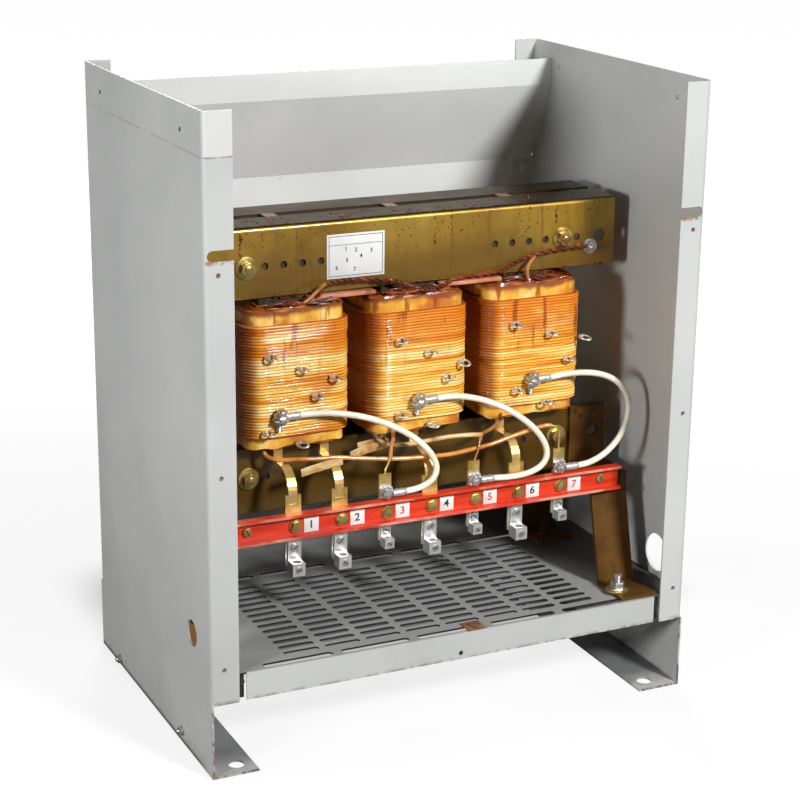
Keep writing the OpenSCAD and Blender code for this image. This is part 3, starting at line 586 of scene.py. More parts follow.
def addCrimp(bm, end, flat):  # flat: the tongue lies level, or stands against a plate
    x, y, z = end
    m = aim((x - crimp["barrel"], y, z), (1, 0, 0))
    addDisc(bm, m, crimp["barrelRadius"], crimp["barrel"], sides=20, soft=0.6)
    for step in (4.5, 10.5):  # crimp dents stand as two raised bands
        addDisc(bm, shiftAlong(m, step), crimp["barrelRadius"] + 0.45, 2.6, sides=20, soft=0.8)
    half, t = crimp["tongue"] / 2, crimp["thick"]
    left = x - crimp["barrel"] - crimp["tongue"]
    if flat:
        addBox(bm, (left, y - half, z - t / 2), (left + crimp["tongue"] + 3, y + half - 1.5, z + t / 2), 0.5)
    else:
        addBox(bm, (left, y + 3, z - half), (left + crimp["tongue"] + 2, y + 5, z + half), 0.5)
        addBox(bm, (left + crimp["tongue"] - 1, y - 1, z - 3.5), (left + crimp["tongue"] + 3, y + 5, z + 3.5), 0.8)


for k in range(3):
    bm = bmesh.new()
    addCrimp(bm, lead["coilEnds"][k], True)
    addCrimp(bm, lead["plateEnds"][k], False)
    crimpLugs = addPiece("crimpLugs%d" % (k + 1), bm, "alloy", ("lead_crimps",))
    cordPiece = routeCurve("whiteLead%d" % (k + 1), leadRoute(k), lead["diameter"], sides=5)
    cordPiece.data.materials.append(finish["white"])
    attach(cordPiece, "root")
    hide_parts("white_lead_%d" % (k + 1))
print("leads made")

# finishes of the CAD solids that stay
terminal = {"straps": (1, 2, 4, 6), "leads": (3, 5, 7), "pitch": 53, "boardFace": -112, "boltZ": 233,
            "bolt": (9.5, 4.2, 7), "leadBoltZ": 254, "leadBolt": (10, 4.5, 7.5), "end": (212, 234), "endRadius": 5,
            "wideLug": (-125, 188, 209, 4, 3), "narrowLug": (-122, 200, 213, 3.2, 2.4),  # front, heights, radius, slot
            "sticker": (11, 27.5, 224, 240.5), "digit": (19, 232), "digitSize": 12}
looks = {"left_side_panel": "panel", "right_side_panel": "rightPanel", "back_cover": "cover", "base_floor": "floor",
         "sill": "sill", "upper": "clamp", "lower": "lowClamp", "tie_tubes": "tan", "flange_spacers": "tail",
         "terminal_board": "board", "coil_straps": "strap", "stand": "stand", "lug_": "alloy"}
for name, obj in nodes.items():
    look = next((value for key, value in looks.items() if key in name), "tin")
    if "yoke" in name or "core_leg" in name:
        look = "core"
    if name.startswith("terminal_plate"):
        look = "strapPlate" if int(name[-1]) in terminal["straps"] else "leadPlate"
    obj.data.materials.clear()
    obj.data.materials.append(finish[look])

# coils: ridged turns, paper sleeves and varnished winding ends
coil = {"legs": {"left": -140, "middle": 0, "right": 140}, "halfW": 61, "halfD": 84, "corner": 22,
        "bottom": 322, "top": 443, "turns": 38, "ridge": 1.05, "wall": 5, "wave": 0.9}
collar = {"halfW": 56, "halfD": 79, "corner": 17, "bottom": 308, "top": 460, "paper": 1.1}
ends = {"layers": 9, "pitch": 2.5, "outer": -1.3, "inner": -24, "deep": 16, "wave": 2.4}
strands = {"count": 10, "low": 458, "lift": 6, "gauge": 2.0, "startX": (-44, -10), "startY": (-74, -60),
           "stepX": (6, 14), "stepY": (-7, 7), "front": -77, "rear": -55}


def sweepRound(bm, profile, shape, sideSteps, cornerSteps=6, crests=()):
    # draws a closed profile at the +X side and carries it round the shape's rounded rectangle
    halfW, halfD, corner = shape["halfW"], shape["halfD"], shape["corner"]
    verts = [bm.verts.new(((halfW + out) * mm, -(halfD - corner) * mm, z * mm)) for out, z in profile]
    for v, rise in zip(verts, crests):
        v[bm.verts.layers.float["crest"]] = rise
    edges = [bm.edges.new((verts[i - 1], verts[i])) for i in range(len(verts))]
    flatW, flatD = (halfW - corner) * mm, (halfD - corner) * mm
    stepsX, stepsY = sideSteps
    legs = [((0, 1, 0), 2 * flatD, stepsY, (flatW, flatD)), ((-1, 0, 0), 2 * flatW, stepsX, (-flatW, flatD)),
            ((0, -1, 0), 2 * flatD, stepsY, (-flatW, -flatD)), ((1, 0, 0), 2 * flatW, stepsX, (flatW, -flatD))]
    for way, run, steps, centre in legs:
        for step in range(steps):
            grown = bmesh.ops.extrude_edge_only(bm, edges=edges)["geom"]
            moved = {g for g in grown if isinstance(g, bmesh.types.BMVert)}
            bmesh.ops.translate(bm, verts=list(moved), vec=Vector(way) * run / steps)
            edges = [g for g in grown if isinstance(g, bmesh.types.BMEdge) and moved.issuperset(g.verts)]
        ring = list({v for e in edges for v in e.verts})
        turned = bmesh.ops.spin(bm, geom=ring + edges, cent=(*centre, 0), axis=(0, 0, 1), angle=math.pi / 2,
                                steps=cornerSteps)
        edges = [g for g in turned["geom_last"] if isinstance(g, bmesh.types.BMEdge)]
    bmesh.ops.remove_doubles(bm, verts=bm.verts, dist=0.01 * mm)


def makeTurns(side, legX):
    bm = bmesh.new()
    bm.verts.layers.float.new("crest")
    pitch = (coil["top"] - coil["bottom"]) / coil["turns"]
    profile, heights = [(-coil["wall"], coil["bottom"])], [0.0]
    for turn in range(coil["turns"]):
        proud = random.uniform(-0.35, 0.25)
        for u in (0.06, 0.22, 0.5, 0.78, 0.94):
            rise = math.sin(math.pi * u)
            profile.append((coil["ridge"] * (rise - 1) + proud * rise, coil["bottom"] + (turn + u) * pitch))
            heights.append(rise)
    profile.append((-coil["wall"], coil["top"]))
    heights.append(0.0)
    sweepRound(bm, profile, coil, (9, 12), crests=heights)
    for v in bm.verts:  # hand-wound turns wander a little
        x, y, z = v.co / mm
        wander = noise.noise(Vector((x * 0.022 + legX, y * 0.022, z * 0.05))) * coil["wave"]
        swell = 1 + 0.010 * noise.noise(Vector((x * 0.02 + legX, y * 0.02, z * 0.11 + 9)))
        inside = abs(x) < coil["halfW"] - 4 and abs(y) < coil["halfD"] - 4
        if not inside:
            v.co = Vector((x * swell, y * swell, z + wander)) * mm
    bmesh.ops.translate(bm, verts=bm.verts, vec=(legX * mm, 0, 0))
    addPiece(side + "Turns", bm, "turns", (side + "_coil",), sharp=80)


def makeSleeves(side, legX):
    bm = bmesh.new()
    for inset, low, high in ((0, collar["bottom"], collar["top"]), (5.5, collar["bottom"] + 1, collar["top"] - 1)):
        rows = [low, low + 4, low + 9, low + 16, high - 18, high - 10, high - 5, high]
        profile = [(-inset, z) for z in rows] + [(-inset - collar["paper"], z) for z in reversed(rows)]
        sweepRound(bm, profile, collar, (16, 22))
    for v in bm.verts:
        x, y, z = v.co / mm
        edge = max(0.0, (z - collar["top"] + 12) / 12, (collar["bottom"] + 10 - z) / 10)
        if edge > 0:
            tear = noise.noise(Vector((x * 0.06 + legX, y * 0.06, 3 if z > 380 else 8)))
            crumple = noise.noise(Vector((x * 0.1, y * 0.1 + legX, z * 0.08)))
            spread = 1 + 0.012 * edge * crumple
            v.co = Vector((x * spread, y * spread, z + (1 if z < 380 else -1) * edge * (2.2 + 3.2 * tear))) * mm
    bmesh.ops.translate(bm, verts=bm.verts, vec=(legX * mm, 0, 0))
    addPiece(side + "Sleeves", bm, "paper", (side + "_collar",), sharp=50)


def makeWindingEnds(side, legX):
    bm = bmesh.new()
    for end, way in ((collar["top"], -1), (collar["bottom"], 1)):
        profile = [(ends["outer"], end + way * ends["deep"])]
        for i in range(ends["layers"]):  # layers step up and down towards the core leg
            out = -1.4 - i * ends["pitch"]
            profile += [(out, end + way * random.uniform(0.5, 4)), (out - 1.6, end + way * random.uniform(-0.5, 3)),
                        (out - 2.1, end + way * random.uniform(3, 6))]
        profile += [(ends["inner"], end + way * ends["deep"])]
        sweepRound(bm, profile, collar, (9, 12), 5)
    for v in bm.verts:
        x, y, z = v.co / mm
        v.co.z += noise.noise(Vector((x * 0.09 + legX, y * 0.09, z * 0.2))) * ends["wave"] * mm
    bmesh.ops.translate(bm, verts=bm.verts, vec=(legX * mm, 0, 0))
    addPiece(side + "WindingEnds", bm, "resin", sharp=60)


def makeStrands(side, legX):
    routes = []
    for i in range(strands["count"]):
        x, y = legX + random.uniform(*strands["startX"]), random.uniform(*strands["startY"])
        points = []
        for step in range(random.randint(5, 8)):
            points.append((x, y, strands["low"] + random.uniform(0, strands["lift"])))
            x += random.uniform(*strands["stepX"])
            y = min(strands["rear"], max(strands["front"], y + random.uniform(*strands["stepY"])))
        routes.append(points)
    curveMesh(side + "Strands", routes, strands["gauge"], "redResin")


for side, legX in coil["legs"].items():
    makeStrands(side, legX)
    makeTurns(side, legX)
    makeSleeves(side, legX)
    makeWindingEnds(side, legX)
print("coils made")

# tap loops on the coil fronts, and the bolted tabs of the leads
tap = {"radius": 4.6, "wire": 1.2, "stretch": 1.4, "reach": 6.5,
       "left": [(-175, 412), (-139, 396), (-102, 383), (-122, 365), (-178, 331), (-140, 314)],
       "middle": [(-26, 414), (9, 398), (49, 382), (31, 367), (-25, 332), (13, 316)],
       "right": [(112, 418), (156, 403), (199, 394), (179, 371), (116, 343), (153, 324)]}
for side in coil["legs"]:
    bm = bmesh.new()
    for x, z in tap[side]:
        way = Vector((0.62, -0.75, random.uniform(-0.30, -0.05))).normalized()
        flat = way.cross(Vector((random.uniform(-0.3, 0.3), -0.5, 1))).normalized()
        frameOf = Matrix((way, flat, way.cross(flat))).transposed().to_4x4()
        place = Vector((x - 3, -coil["halfD"], z)) + way * (tap["reach"] - 1)
        addRing(bm, Matrix.Translation(place * mm) @ frameOf, tap["radius"], tap["wire"], stretch=tap["stretch"])
        foot = Vector((x - 3, -coil["halfD"] + 2, z))
        addDisc(bm, aim(foot, way), 1.9, 4.5, sides=12, soft=0.4)
    addPiece(side + "Taps", bm, "tin", sharp=60)

leadBolt = {"across": 11, "depth": 5.5, "washer": 8, "lean": (0.05, -0.30, 0.95)}
leadTab = {"left": 30, "right": 15, "front": -96, "rear": -82, "low": 3.4, "high": 1.6}
nuts, tabs = bmesh.new(), bmesh.new()
for x, y, z in lead["coilEnds"]:
    bolt = Vector((x - 22, y - 1.5, z))
    up = Vector(leadBolt["lean"]).normalized()
    addBolt(nuts, bolt + up * 0.8, up, leadBolt["across"], leadBolt["depth"], leadBolt["washer"], stud=2.5)
    addDisc(nuts, aim(bolt - up * 1.2, -up), leadBolt["washer"], 1.6)
    addHex(nuts, aim(bolt - up * 2.8, -up), leadBolt["across"], 4)
    addThread(nuts, aim(bolt - up * 6.5, -up), 3.2, 11)
    addBox(tabs, (x - leadTab["left"], leadTab["front"], z - leadTab["low"]),
           (x - leadTab["right"], leadTab["rear"], z - leadTab["high"]), 0.4)
addPiece("coilLeadBolts", nuts, "steel")
addPiece("coilLeadTabs", tabs, "tin")
print("taps made")

# clamp bolts
clampBolt = {"x": 187, "heights": (499, 270), "faceY": 52, "across": 14, "depth": 7, "washer": 12, "radius": 4.2,
             "frontStud": 1.5, "rearStud": 6}
earth = {"place": (222, -52, 487), "across": 11, "depth": 5, "washer": 8.5, "stud": 4, "studRadius": 3}
bm = bmesh.new()
for sx in (-1, 1):
    for z in clampBolt["heights"]:
        for sy, reach in ((-1, clampBolt["frontStud"]), (1, clampBolt["rearStud"])):
            addBolt(bm, (sx * clampBolt["x"], sy * clampBolt["faceY"], z), (0, sy, 0), clampBolt["across"],
                    clampBolt["depth"], clampBolt["washer"], reach, clampBolt["radius"], random.uniform(0, 1))
addPiece("tieBolts", bm, "zinc")
bm = bmesh.new()
addBolt(bm, axis=toFront, **earth)
addPiece("earthBolt", bm, "steel")


# terminal hardware
def addSlot(bm, place, half, tall, angle):  # dark slot of a screw head: painted shade
    turn = Matrix.Translation(Vector(place) * mm) @ Matrix.Rotation(angle, 4, "Y")
    addBox(bm, (-half, -0.05, -tall), (half, 0.5, tall), 0, turn)


boltHeads, screws, slots, stickers, plateBolts = (bmesh.new() for i in range(5))
face = terminal["boardFace"]
for i in range(1, 8):
    x = (i - 4) * terminal["pitch"]
    addBolt(boltHeads, (x + 1, face, terminal["boltZ"]), toFront, *terminal["bolt"], turn=random.uniform(0, 1))
    left, right, low, high = terminal["sticker"]
    addBox(stickers, (x + left, face - 0.35, low), (x + right, face, high), 0.08)
    wide = i in terminal["straps"]
    blockFront, blockZ, tangZ, radius, half = terminal["wideLug" if wide else "narrowLug"]
    addDisc(screws, aim((x, blockFront, blockZ), toFront), radius, 0.9, sides=24)
    addDisc(screws, aim((x, face, tangZ), toFront), 4.3, 2.2, sides=24, soft=0.7)
    addSlot(slots, (x, blockFront - 0.95, blockZ), half, 0.55, random.uniform(-0.9, 0.9))
    addSlot(slots, (x, face - 2.25, tangZ), 3.4, 0.55, random.uniform(-0.9, 0.9))
    if not wide:
        place = (x, face + 1, terminal["leadBoltZ"])
        addBolt(plateBolts, place, toFront, *terminal["leadBolt"], stud=3, studRadius=2.6)
endX, endZ = terminal["end"]
for x in (-endX, endX):
    addDisc(boltHeads, aim((x, face, endZ), toFront), terminal["endRadius"], 2.6, soft=1.0)
    addSlot(slots, (x, face - 2.65, endZ), 3.6, 0.6, 1.2)
addPiece("boardBolts", boltHeads, "zinc")
addPiece("lugScrews", screws, "steel")
# screw slots painted near-black as shade
addPiece("screwSlots", slots, "shadeBlack", sharp=30)
addPiece("plateBolts", plateBolts, "steel")
addPiece("boardStickers", stickers, "sticker", sharp=30)


def addDigits(name, marks, look):  # marks: (text, size, x, y, z), upright and facing -Y
    bm = bmesh.new()
    for text, size, x, y, z in marks:
        data = bpy.data.curves.new(name, "FONT")
        data.body, data.size, data.extrude = text, size * mm, 0.08 * mm
        data.offset = 0.02 * size * mm  # bolder strokes
        data.align_x, data.align_y = "CENTER", "CENTER"
        obj = bpy.data.objects.new(name, data)
        scene.collection.objects.link(obj)
        takeMesh(bm, obj, Matrix.Translation(Vector((x, y, z)) * mm) @ Matrix.Rotation(math.pi / 2, 4, "X"))
    addPiece(name, bm, look, sharp=30)


for name, plates, look in (("strapDigits", "straps", "ink"), ("leadDigits", "leads", "redInk")):
    digitX, digitZ = terminal["digit"]
    marks = [(str(i), terminal["digitSize"], (i - 4) * terminal["pitch"] + digitX, face - 0.4, digitZ)
             for i in terminal[plates]]
    addDigits(name, marks, look)

# label on the upper clamp, with a plain frame and digits
label = {"left": -96.5, "right": -30, "low": 478.5, "high": 526, "face": -52, "margin": 2.2, "line": 0.6,
         "heading": 12, "digitSize": 6,
         "spots": [(0.33, 0.34), (0.50, 0.38), (0.77, 0.42), (0.59, 0.53), (0.35, 0.60), (0.17, 0.76), (0.48, 0.82)]}
bm = bmesh.new()
addBox(bm, (label["left"], label["face"] - 0.4, label["low"]), (label["right"], label["face"], label["high"]), 0.1)
addPiece("clampLabel", bm, "sticker", sharp=30)
bm = bmesh.new()
line = label["line"]
left, right = label["left"] + label["margin"], label["right"] - label["margin"]
low, high = label["low"] + label["margin"], label["high"] - label["margin"]
heading = label["high"] - label["heading"]
for x0, z0, x1, z1 in ((left, high - line, right, high), (left, low, right, low + line), (left, low, left + line, high),
                       (right - line, low, right, high), (left, heading, right, heading + 0.5)):
    addBox(bm, (x0, label["face"] - 0.5, z0), (x1, label["face"] - 0.38, z1), 0)
addPiece("labelFrame", bm, "ink", sharp=30)
wide, tall = label["right"] - label["left"], label["high"] - label["low"]
addDigits("labelDigits", [(str(i + 1), label["digitSize"], label["left"] + wide * u, label["face"] - 0.45,
                           label["high"] - tall * v) for i, (u, v) in enumerate(label["spots"])], "ink")
print("terminals made")

# wires over and under the coils
wire = {"twist": 2.9, "tail": 4.4, "bare": 2.2, "wrapped": 5.2, "delta": 5.0}
topRun = [(-112, -66, 466), (-105, -62, 473), (-91, -59, 477), (-74, -58, 477), (-49, -58, 476), (-22, -60, 472),
          (-8, -64, 467), (8, -70, 461), (20, -70, 460), (32, -66, 462), (46, -60, 466), (68, -58, 468),
          (92, -58, 469), (110, -59, 471), (123, -58, 477), (141, -57, 483), (166, -56, 486.5), (194, -55.5, 488),
          (217, -55, 488)]


def twisted(route, gap, turns, phase):  # one strand of a twisted pair along a route
    count = len(route) * 5
    strand = []
    for i in range(count + 1):
        at = i / count * (len(route) - 1)
        k = min(int(at), len(route) - 2)
        base = Vector(route[k]).lerp(Vector(route[k + 1]), at - k)
        angle = i / count * turns * math.tau + phase
        strand.append(base + Vector((0, math.cos(angle), math.sin(angle))) * gap)
    return strand


pair = [twisted(topRun, 1.3, 22, phase) for phase in (0, math.pi)]
curveMesh("topLead", pair, wire["twist"], "redResin")
tails = [[(-102, -61, 476.5), (-112, -66, 472), (-122, -70, 466), (-132, -73, 460), (-137, -74, 452)],
         [(150, -57, 482), (143, -61, 479), (136, -66, 472), (134, -72, 463), (136, -76, 454)],
         [(-45, -104.5, 289), (-44, -103, 296), (-42, -100, 303), (-37, -94, 308), (-34, -86, 313), (-33, -76, 318)],
         [(62, -105, 295), (65, -101, 300), (72, -96, 301), (82, -91, 302), (93, -86, 306), (100, -80, 312),
          (102, -72, 318)]]
curveMesh("tailLeads", tails, wire["tail"], "tail")
risers = [[(-53, -107.5, 270), (-52, -107.5, 279), (-48, -106, 286), (-45, -104.5, 292)],
          [(53, -107.5, 270), (56, -107.5, 279), (60, -106.5, 288), (62, -105, 297)],
          [(140, -105.4, 302.4), (152.6, -106.8, 301.6), (157.5, -107.4, 297), (159, -107.5, 291.5),
           (159, -107.5, 270)]]
curveMesh("plateWires", risers, wire["bare"], "strap")
wrappedRun = [(66, -101, 301), (54, -97, 301), (30, -94, 301), (6, -91, 299), (-24, -87, 297), (-44, -80, 301),
              (-52, -72, 312)]
curveMesh("wrappedLead", [wrappedRun], wire["wrapped"], "wrap")
deltaRun = [(-175, -68, 308), (-175, -69.8, 301.6), (-169.4, -78.5, 297.8), (-158.2, -83.9, 297.1),
            (-142.8, -88.3, 297.1), (-124.6, -91, 295.8), (-105, -92.7, 295.2), (-79.8, -95.9, 292),
            (-50.4, -100.3, 288.8), (-25.2, -103.6, 286.9), (0, -105.7, 286.2), (25.2, -104.6, 285),
            (50.4, -103, 286.2), (75.6, -101.4, 288.2), (99.4, -101.4, 293.3), (124.6, -103, 299),
            (142.8, -105.7, 302.9), (149, -106.4, 302.7)]
curveMesh("deltaLead", [deltaRun], wire["delta"], "amber", ("delta_lead",))

# insulating strips under the clamp, between the coils
clampStrip = {"spans": ((-121, -44), (34, 107)), "front": -62, "rear": -50, "low": 460.5, "high": 464.5}
bm = bmesh.new()
for left, right in clampStrip["spans"]:
    addBox(bm, (left, clampStrip["front"], clampStrip["low"]), (right, clampStrip["rear"], clampStrip["high"]), 0.6)
addPiece("clampStrips", bm, "pink")

# wrapped strips by the straps
strip = {"wide": 9, "thick": 1.6, "runs": [((-146, -99, 286), (-97, -96, 292)), ((-80, -78, 290), (-34, -76, 298)),
                                         ((-70, -74, 296), (-36, -74, 302))]}
bm = bmesh.new()
for a, b in strip["runs"]:
    run = Vector(b) - Vector(a)
    lay = Matrix.Translation(Vector(a) * mm) @ run.to_track_quat("X", "Z").to_matrix().to_4x4()
    thick, wide = strip["thick"] / 2, strip["wide"] / 2
    addBox(bm, (0, -thick, -wide), (run.length, thick, wide), 0.5, lay)
bmesh.ops.subdivide_edges(bm, edges=[e for e in bm.edges if e.calc_length() > 20 * mm], cuts=6, use_grid_fill=True)
for v in bm.verts:
    v.co.z += noise.noise(v.co / mm * 0.08) * 1.4 * mm
addPiece("wrappedStrips", bm, "wrap", sharp=50)

# varnish beads that hang from the clamp's lower edge
bead = {"edge": 466, "face": -52, "count": 46, "reach": 250}


def addDrop(bm, place, size):  # a drop of varnish, half sunk in its surface
    made = bmesh.ops.create_uvsphere(bm, u_segments=8, v_segments=6, radius=mm)
    lay = Matrix.Translation(Vector(place) * mm) @ Matrix.Diagonal((*size, 1))
    bmesh.ops.transform(bm, matrix=lay, verts=made["verts"])


bm = bmesh.new()
for i in range(bead["count"]):
    size = random.uniform(0.8, 1.7)
    place = (random.uniform(-bead["reach"], bead["reach"]), bead["face"] + 0.3, bead["edge"] + 0.4)
    addDrop(bm, place, (size, size * 0.8, size * random.uniform(1.0, 2.4)))
addPiece("varnishBeads", bm, "redResin", sharp=80)

# runs, spots and pools of varnish on the clamp's front and top
runs = {"face": -51.9, "top": 541, "spots": 110, "spotReach": 245, "pools": 90, "poolReach": 248, "step": 3.2,
        "marks": [(-193, 505, 1.4), (-169, 517, 0.8), (-130, 494, 0.9), (-101, 497, 0.7), (30.5, 499, 1.1),
                  (48, 513, 0.9), (76, 522, 0.8), (145, 509, 1.0), (178, 517, 1.3), (232, 520, 0.8)]}  # x, low, wide
bm = bmesh.new()
for x, low, wide in runs["marks"]:
    for i in range(int((runs["top"] - low) / runs["step"])):  # a run is a broken chain of drops
        size = wide * random.uniform(0.4, 1.0)
        place = (x + random.gauss(0, 0.9), runs["face"], random.uniform(low, runs["top"] - 3))
        addDrop(bm, place, (size, size * 0.5, size * random.uniform(1.0, 3.0)))
for i in range(runs["spots"]):
    size = random.uniform(0.45, 1.15)
    x = random.uniform(-runs["spotReach"], runs["spotReach"])
    addDrop(bm, (x, runs["face"], runs["top"] - 4 - abs(random.gauss(0, 22))), (size, size * 0.5, size))
for i in range(runs["pools"]):
    size = random.uniform(0.7, 2.2)
    x = random.uniform(-runs["poolReach"], runs["poolReach"])
    addDrop(bm, (x, random.uniform(-50, -13), runs["top"]), (size * 1.4, size, size * 0.35))
addPiece("varnishRuns", bm, "redResin", sharp=80)

# cabinet hardware: stand studs, clips, screws and screw holes
stud = {"front": [(211, -160)], "hidden": [(-226, -31), (226, 31), (-226, 31)], "z": 117, "across": 14.3, "nut": 8,
        "radius": 4.7, "reach": 11, "pitch": 1.6,
        "washer": (1.2, 9, 1.4), "rim": (0, 13, 1.6), "plate": (0, 12, 2.4)}  # lift, radius, depth
screw = {"across": 8, "depth": 3.2, "washer": 5.5}  # panels and back cover
panelBolt = {"x": 281, "spots": ((117, 8), (-95, 14)), "stud": 1.5}
backScrew = {"x": 264, "y": 187.5, "heights": (128, 262, 396, 530)}
sillAngle = {"x": 247.5, "half": 3.5, "front": -182, "rear": -179.5, "low": 84, "high": 111, "boltZ": 103,
             "bolt": (6, 2, 3.4)}
roofHole = {"ys": (-126, 128), "z": 660, "outer": 281, "inner": 279, "radius": 2.4}
coverClip = {"x": 267, "y": -185.5, "heights": (120, 325, 529), "radius": 5.5}
sillClip = {"low": (10, -187.4, 113), "high": (32, -166, 114.2), "rivet": (21, -176, 114.2), "radius": 4.5}
rearTab = {"low": (243, 183.6, 519), "high": (276.5, 185.4, 548), "screw": (265, 183.6, 531), "radius": 4}
smallHole = {"sill": (1.5, -187.1, 90), "sillRadius": 2.6, "spare": ((217, -55.6, 290.5), (232.5, -55.6, 296)),
             "spareRadius": 3}


def addStud(bm, x, y):
    addHex(bm, aim((x, y, stud["z"] + 2.2), upright), stud["across"], stud["nut"])
    addThread(bm, aim((x, y, stud["z"] + 9.5), upright), stud["radius"], stud["reach"], stud["pitch"])


def addWasher(bm, x, y, lift, radius, depth):
    addDisc(bm, aim((x, y, stud["z"] + lift), upright), radius, depth)


nuts, rims, varnished = bmesh.new(), bmesh.new(), bmesh.new()
for x, y in stud["front"]:
    addStud(nuts, x, y)
    addWasher(nuts, x, y, *stud["washer"])
    addWasher(rims, x, y, *stud["rim"])
for x, y in stud["hidden"]:
    addStud(varnished, x, y)
    addWasher(varnished, x, y, *stud["plate"])
addPiece("standStud", nuts, "steel")
addPiece("studWasher", rims, "zinc")
addPiece("hiddenStuds", varnished, "stand")
bm = bmesh.new()
addBox(bm, sillClip["low"], sillClip["high"], 0.4)
addDisc(bm, aim(sillClip["rivet"], upright), sillClip["radius"], 2.4, soft=0.8)
addPiece("sillClip", bm, "rust")
bm = bmesh.new()
for y, z in panelBolt["spots"]:
    for sx in (-1, 1):
        addBolt(bm, (sx * panelBolt["x"], y, z), (sx, 0, 0), stud=panelBolt["stud"], **screw)
addPiece("panelBolts", bm, "steel")
bm = bmesh.new()
for sx in (-1, 1):  # angle that ties the sill to the flange, painted near-black as shade at the sill's ends
    x, half = sx * sillAngle["x"], sillAngle["half"]
    addBox(bm, (x - half, sillAngle["front"], sillAngle["low"]), (x + half, sillAngle["rear"], sillAngle["high"]), 0.4)
    addBolt(bm, (x, sillAngle["front"], sillAngle["boltZ"]), toFront, *sillAngle["bolt"])
addPiece("sillAngles", bm, "shadeBlack")
bm = bmesh.new()
# screw holes drawn as discs, painted near-black as shade
for sx in (-1, 1):
    for y in roofHole["ys"]:
        for side, way in ((roofHole["outer"], 1), (roofHole["inner"], -1)):
            place = (sx * (side - way * 0.6), y, roofHole["z"])
            addDisc(bm, aim(place, (sx * way, 0, 0)), roofHole["radius"], 0.75, sides=18, soft=0)
addPiece("roofScrewHoles", bm, "shadeBlack")
bm = bmesh.new()
for y in roofHole["ys"]:  # daylight in the right panel's holes
    addDisc(bm, aim((roofHole["inner"] + 0.3, y - 0.4, roofHole["z"] + 0.3), (-1, 0, 0)), 1.5, 0.6, sides=16, soft=0)
addPiece("roofHoleLight", bm, "sticker")
bm = bmesh.new()
for sx in (-1, 1):
    for z in coverClip["heights"]:
        addDisc(bm, aim((sx * coverClip["x"], coverClip["y"], z), toRear), coverClip["radius"], 1.2, sides=20)
addPiece("coverClips", bm, "rust")
bm = bmesh.new()
addBox(bm, rearTab["low"], rearTab["high"], 0.5)
addDisc(bm, aim(rearTab["screw"], toFront), rearTab["radius"], 1.6, soft=0.6)
addPiece("rearTab", bm, "cover")
bm = bmesh.new()
for sx in (-1, 1):  # screws that hold the back cover to the rear flanges
    for z in backScrew["heights"]:
        addBolt(bm, (sx * backScrew["x"], backScrew["y"], z), toRear, turn=random.uniform(0, 1), **screw)
addPiece("backScrews", bm, "steel")
bm = bmesh.new()
# holes drawn as discs, painted near-black as shade
addDisc(bm, aim(smallHole["sill"], toFront), smallHole["sillRadius"], 0.5, sides=18, soft=0)
for place in smallHole["spare"]:  # spare holes above the stand's bolt hole
    addDisc(bm, aim(place, toFront), smallHole["spareRadius"], 0.5, sides=18, soft=0)
addPiece("smallHoles", bm, "shadeBlack")
print("hardware made")

# stage and light
studio = {"floorSize": 120, "floorShade": 0.15, "nearGlow": 0.80, "farGlow": 0.18, "ambient": 0.008}


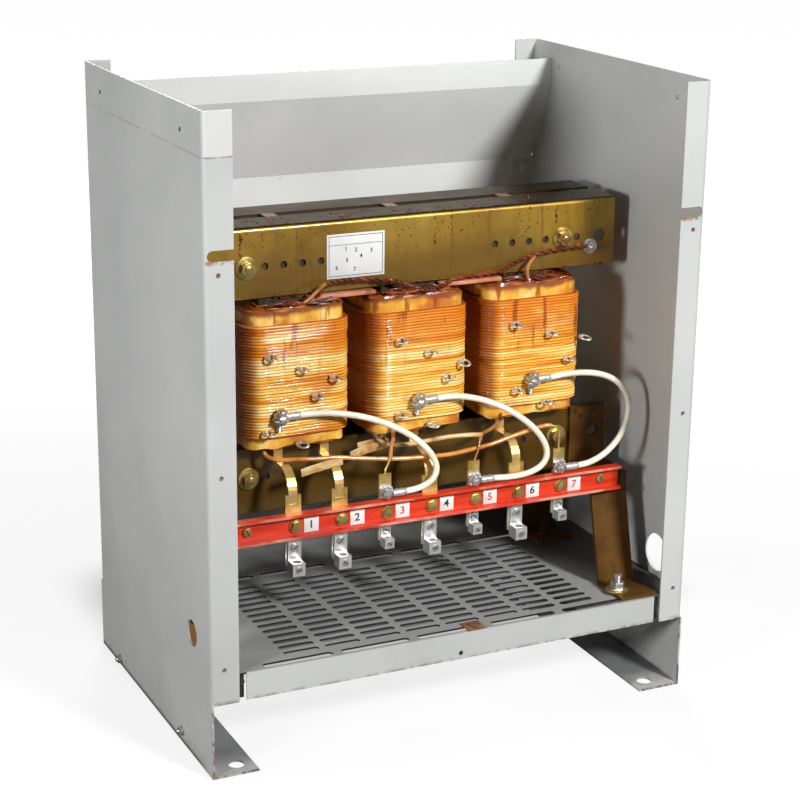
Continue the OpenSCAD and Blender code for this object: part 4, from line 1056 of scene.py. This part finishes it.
def makeStage(s):
    bm = bmesh.new()
    bmesh.ops.create_grid(bm, x_segments=2, y_segments=2, size=s["floorSize"] / 2)
    mesh = bpy.data.meshes.new("studioFloor")
    bm.to_mesh(mesh)
    bm.free()
    floor = bpy.data.objects.new("studioFloor", mesh)
    floor.location.z = -0.5 * mm
    scene.collection.objects.link(floor)
    m, tree, shader = newMaterial("floorWhite", rough=0.9)
    behind = times(tree, along(tree, "Y", 0.0, 0.10), along(tree, "Y", 0.46, 0.28))
    across = times(tree, along(tree, "X", -0.30, -0.16), along(tree, "X", 0.48, 0.32))
    shade = times(tree, times(tree, behind, across), 0.95)
    clear = combine(tree, "SUBTRACT", 1.0, shade)  # deep shade behind the cabinet, seen through the air slots
    soft = ramp(tree, grain(tree, 2, detail=2), [(0.3, (s["floorShade"],) * 3), (0.7, (s["floorShade"] + 0.03,) * 3)])
    dark = ramp(tree, grain(tree, 18, detail=3), [(0.40, (0.006, 0.010, 0.022)), (0.60, (0.022, 0.018, 0.014))])
    paint(tree, shader, over(tree, soft, dark, shade))
    glow = tree.nodes.new("ShaderNodeEmission")
    glow.inputs["Color"].default_value = (1, 1, 1, 1)
    rays = tree.nodes.new("ShaderNodeLightPath")
    away = tree.nodes.new("ShaderNodeVectorMath")
    away.operation = "LENGTH"
    tree.links.new(objectCoords(tree), away.inputs[0])
    level = combine(tree, "ADD", mask(tree, away.outputs["Value"], 0.5, 2.2, s["farGlow"]), s["nearGlow"])
    clear = times(tree, clear, level)
    tree.links.new(times(tree, rays.outputs["Is Camera Ray"], clear), glow.inputs["Strength"])
    both = tree.nodes.new("ShaderNodeAddShader")
    tree.links.new(shader.outputs["BSDF"], both.inputs[0])
    tree.links.new(glow.outputs["Emission"], both.inputs[1])
    tree.links.new(both.outputs["Shader"], tree.nodes["Material Output"].inputs["Surface"])
    floor.data.materials.append(m)
    world = bpy.data.worlds.new("studioAir")
    scene.world = world
    world.use_nodes = True
    wt = world.node_tree
    air = wt.nodes["Background"]
    air.inputs["Color"].default_value = (1, 1, 1, 1)
    rays = wt.nodes.new("ShaderNodeLightPath")
    seen = combine(wt, "MAXIMUM", rays.outputs["Is Camera Ray"], rays.outputs["Is Transmission Ray"])
    wt.links.new(mask(wt, seen, 0.0, 1.0), air.inputs["Strength"])
    air.inputs["Strength"].links[0].from_node.inputs["To Min"].default_value = s["ambient"]


lamps = [  # name, place, aimed at, size, power
    ("rightLamp", (1.2, -3.6, 2.6), (0, 0, 0.4), 0.7, 235),
    ("leftLamp", (-1.70, -0.92, 0.78), (0.1, 0, 0.38), 0.34, 21),
    ("sideLamp", (-2.2, 0.35, 0.86), (-0.28, 0, 0.4), 0.8, 15),
    ("frontLamp", (-0.3, -2.6, 1.3), (0, 0, 0.4), 1.2, 1.5),
    ("backLamp", (0.9, 2.7, 1.05), (0.05, 0.19, 0.4), 1.2, 42),
]


def makeLamps():
    for name, place, target, size, power in lamps:
        data = bpy.data.lights.new(name, "AREA")
        data.shape, data.size, data.energy = "DISK", size, power
        lamp = bpy.data.objects.new(name, data)
        lamp.location = place
        lamp.rotation_euler = (Vector(target) - Vector(place)).to_track_quat("-Z", "Y").to_euler()
        scene.collection.objects.link(lamp)


makeStage(studio)
makeLamps()
print("stage set")
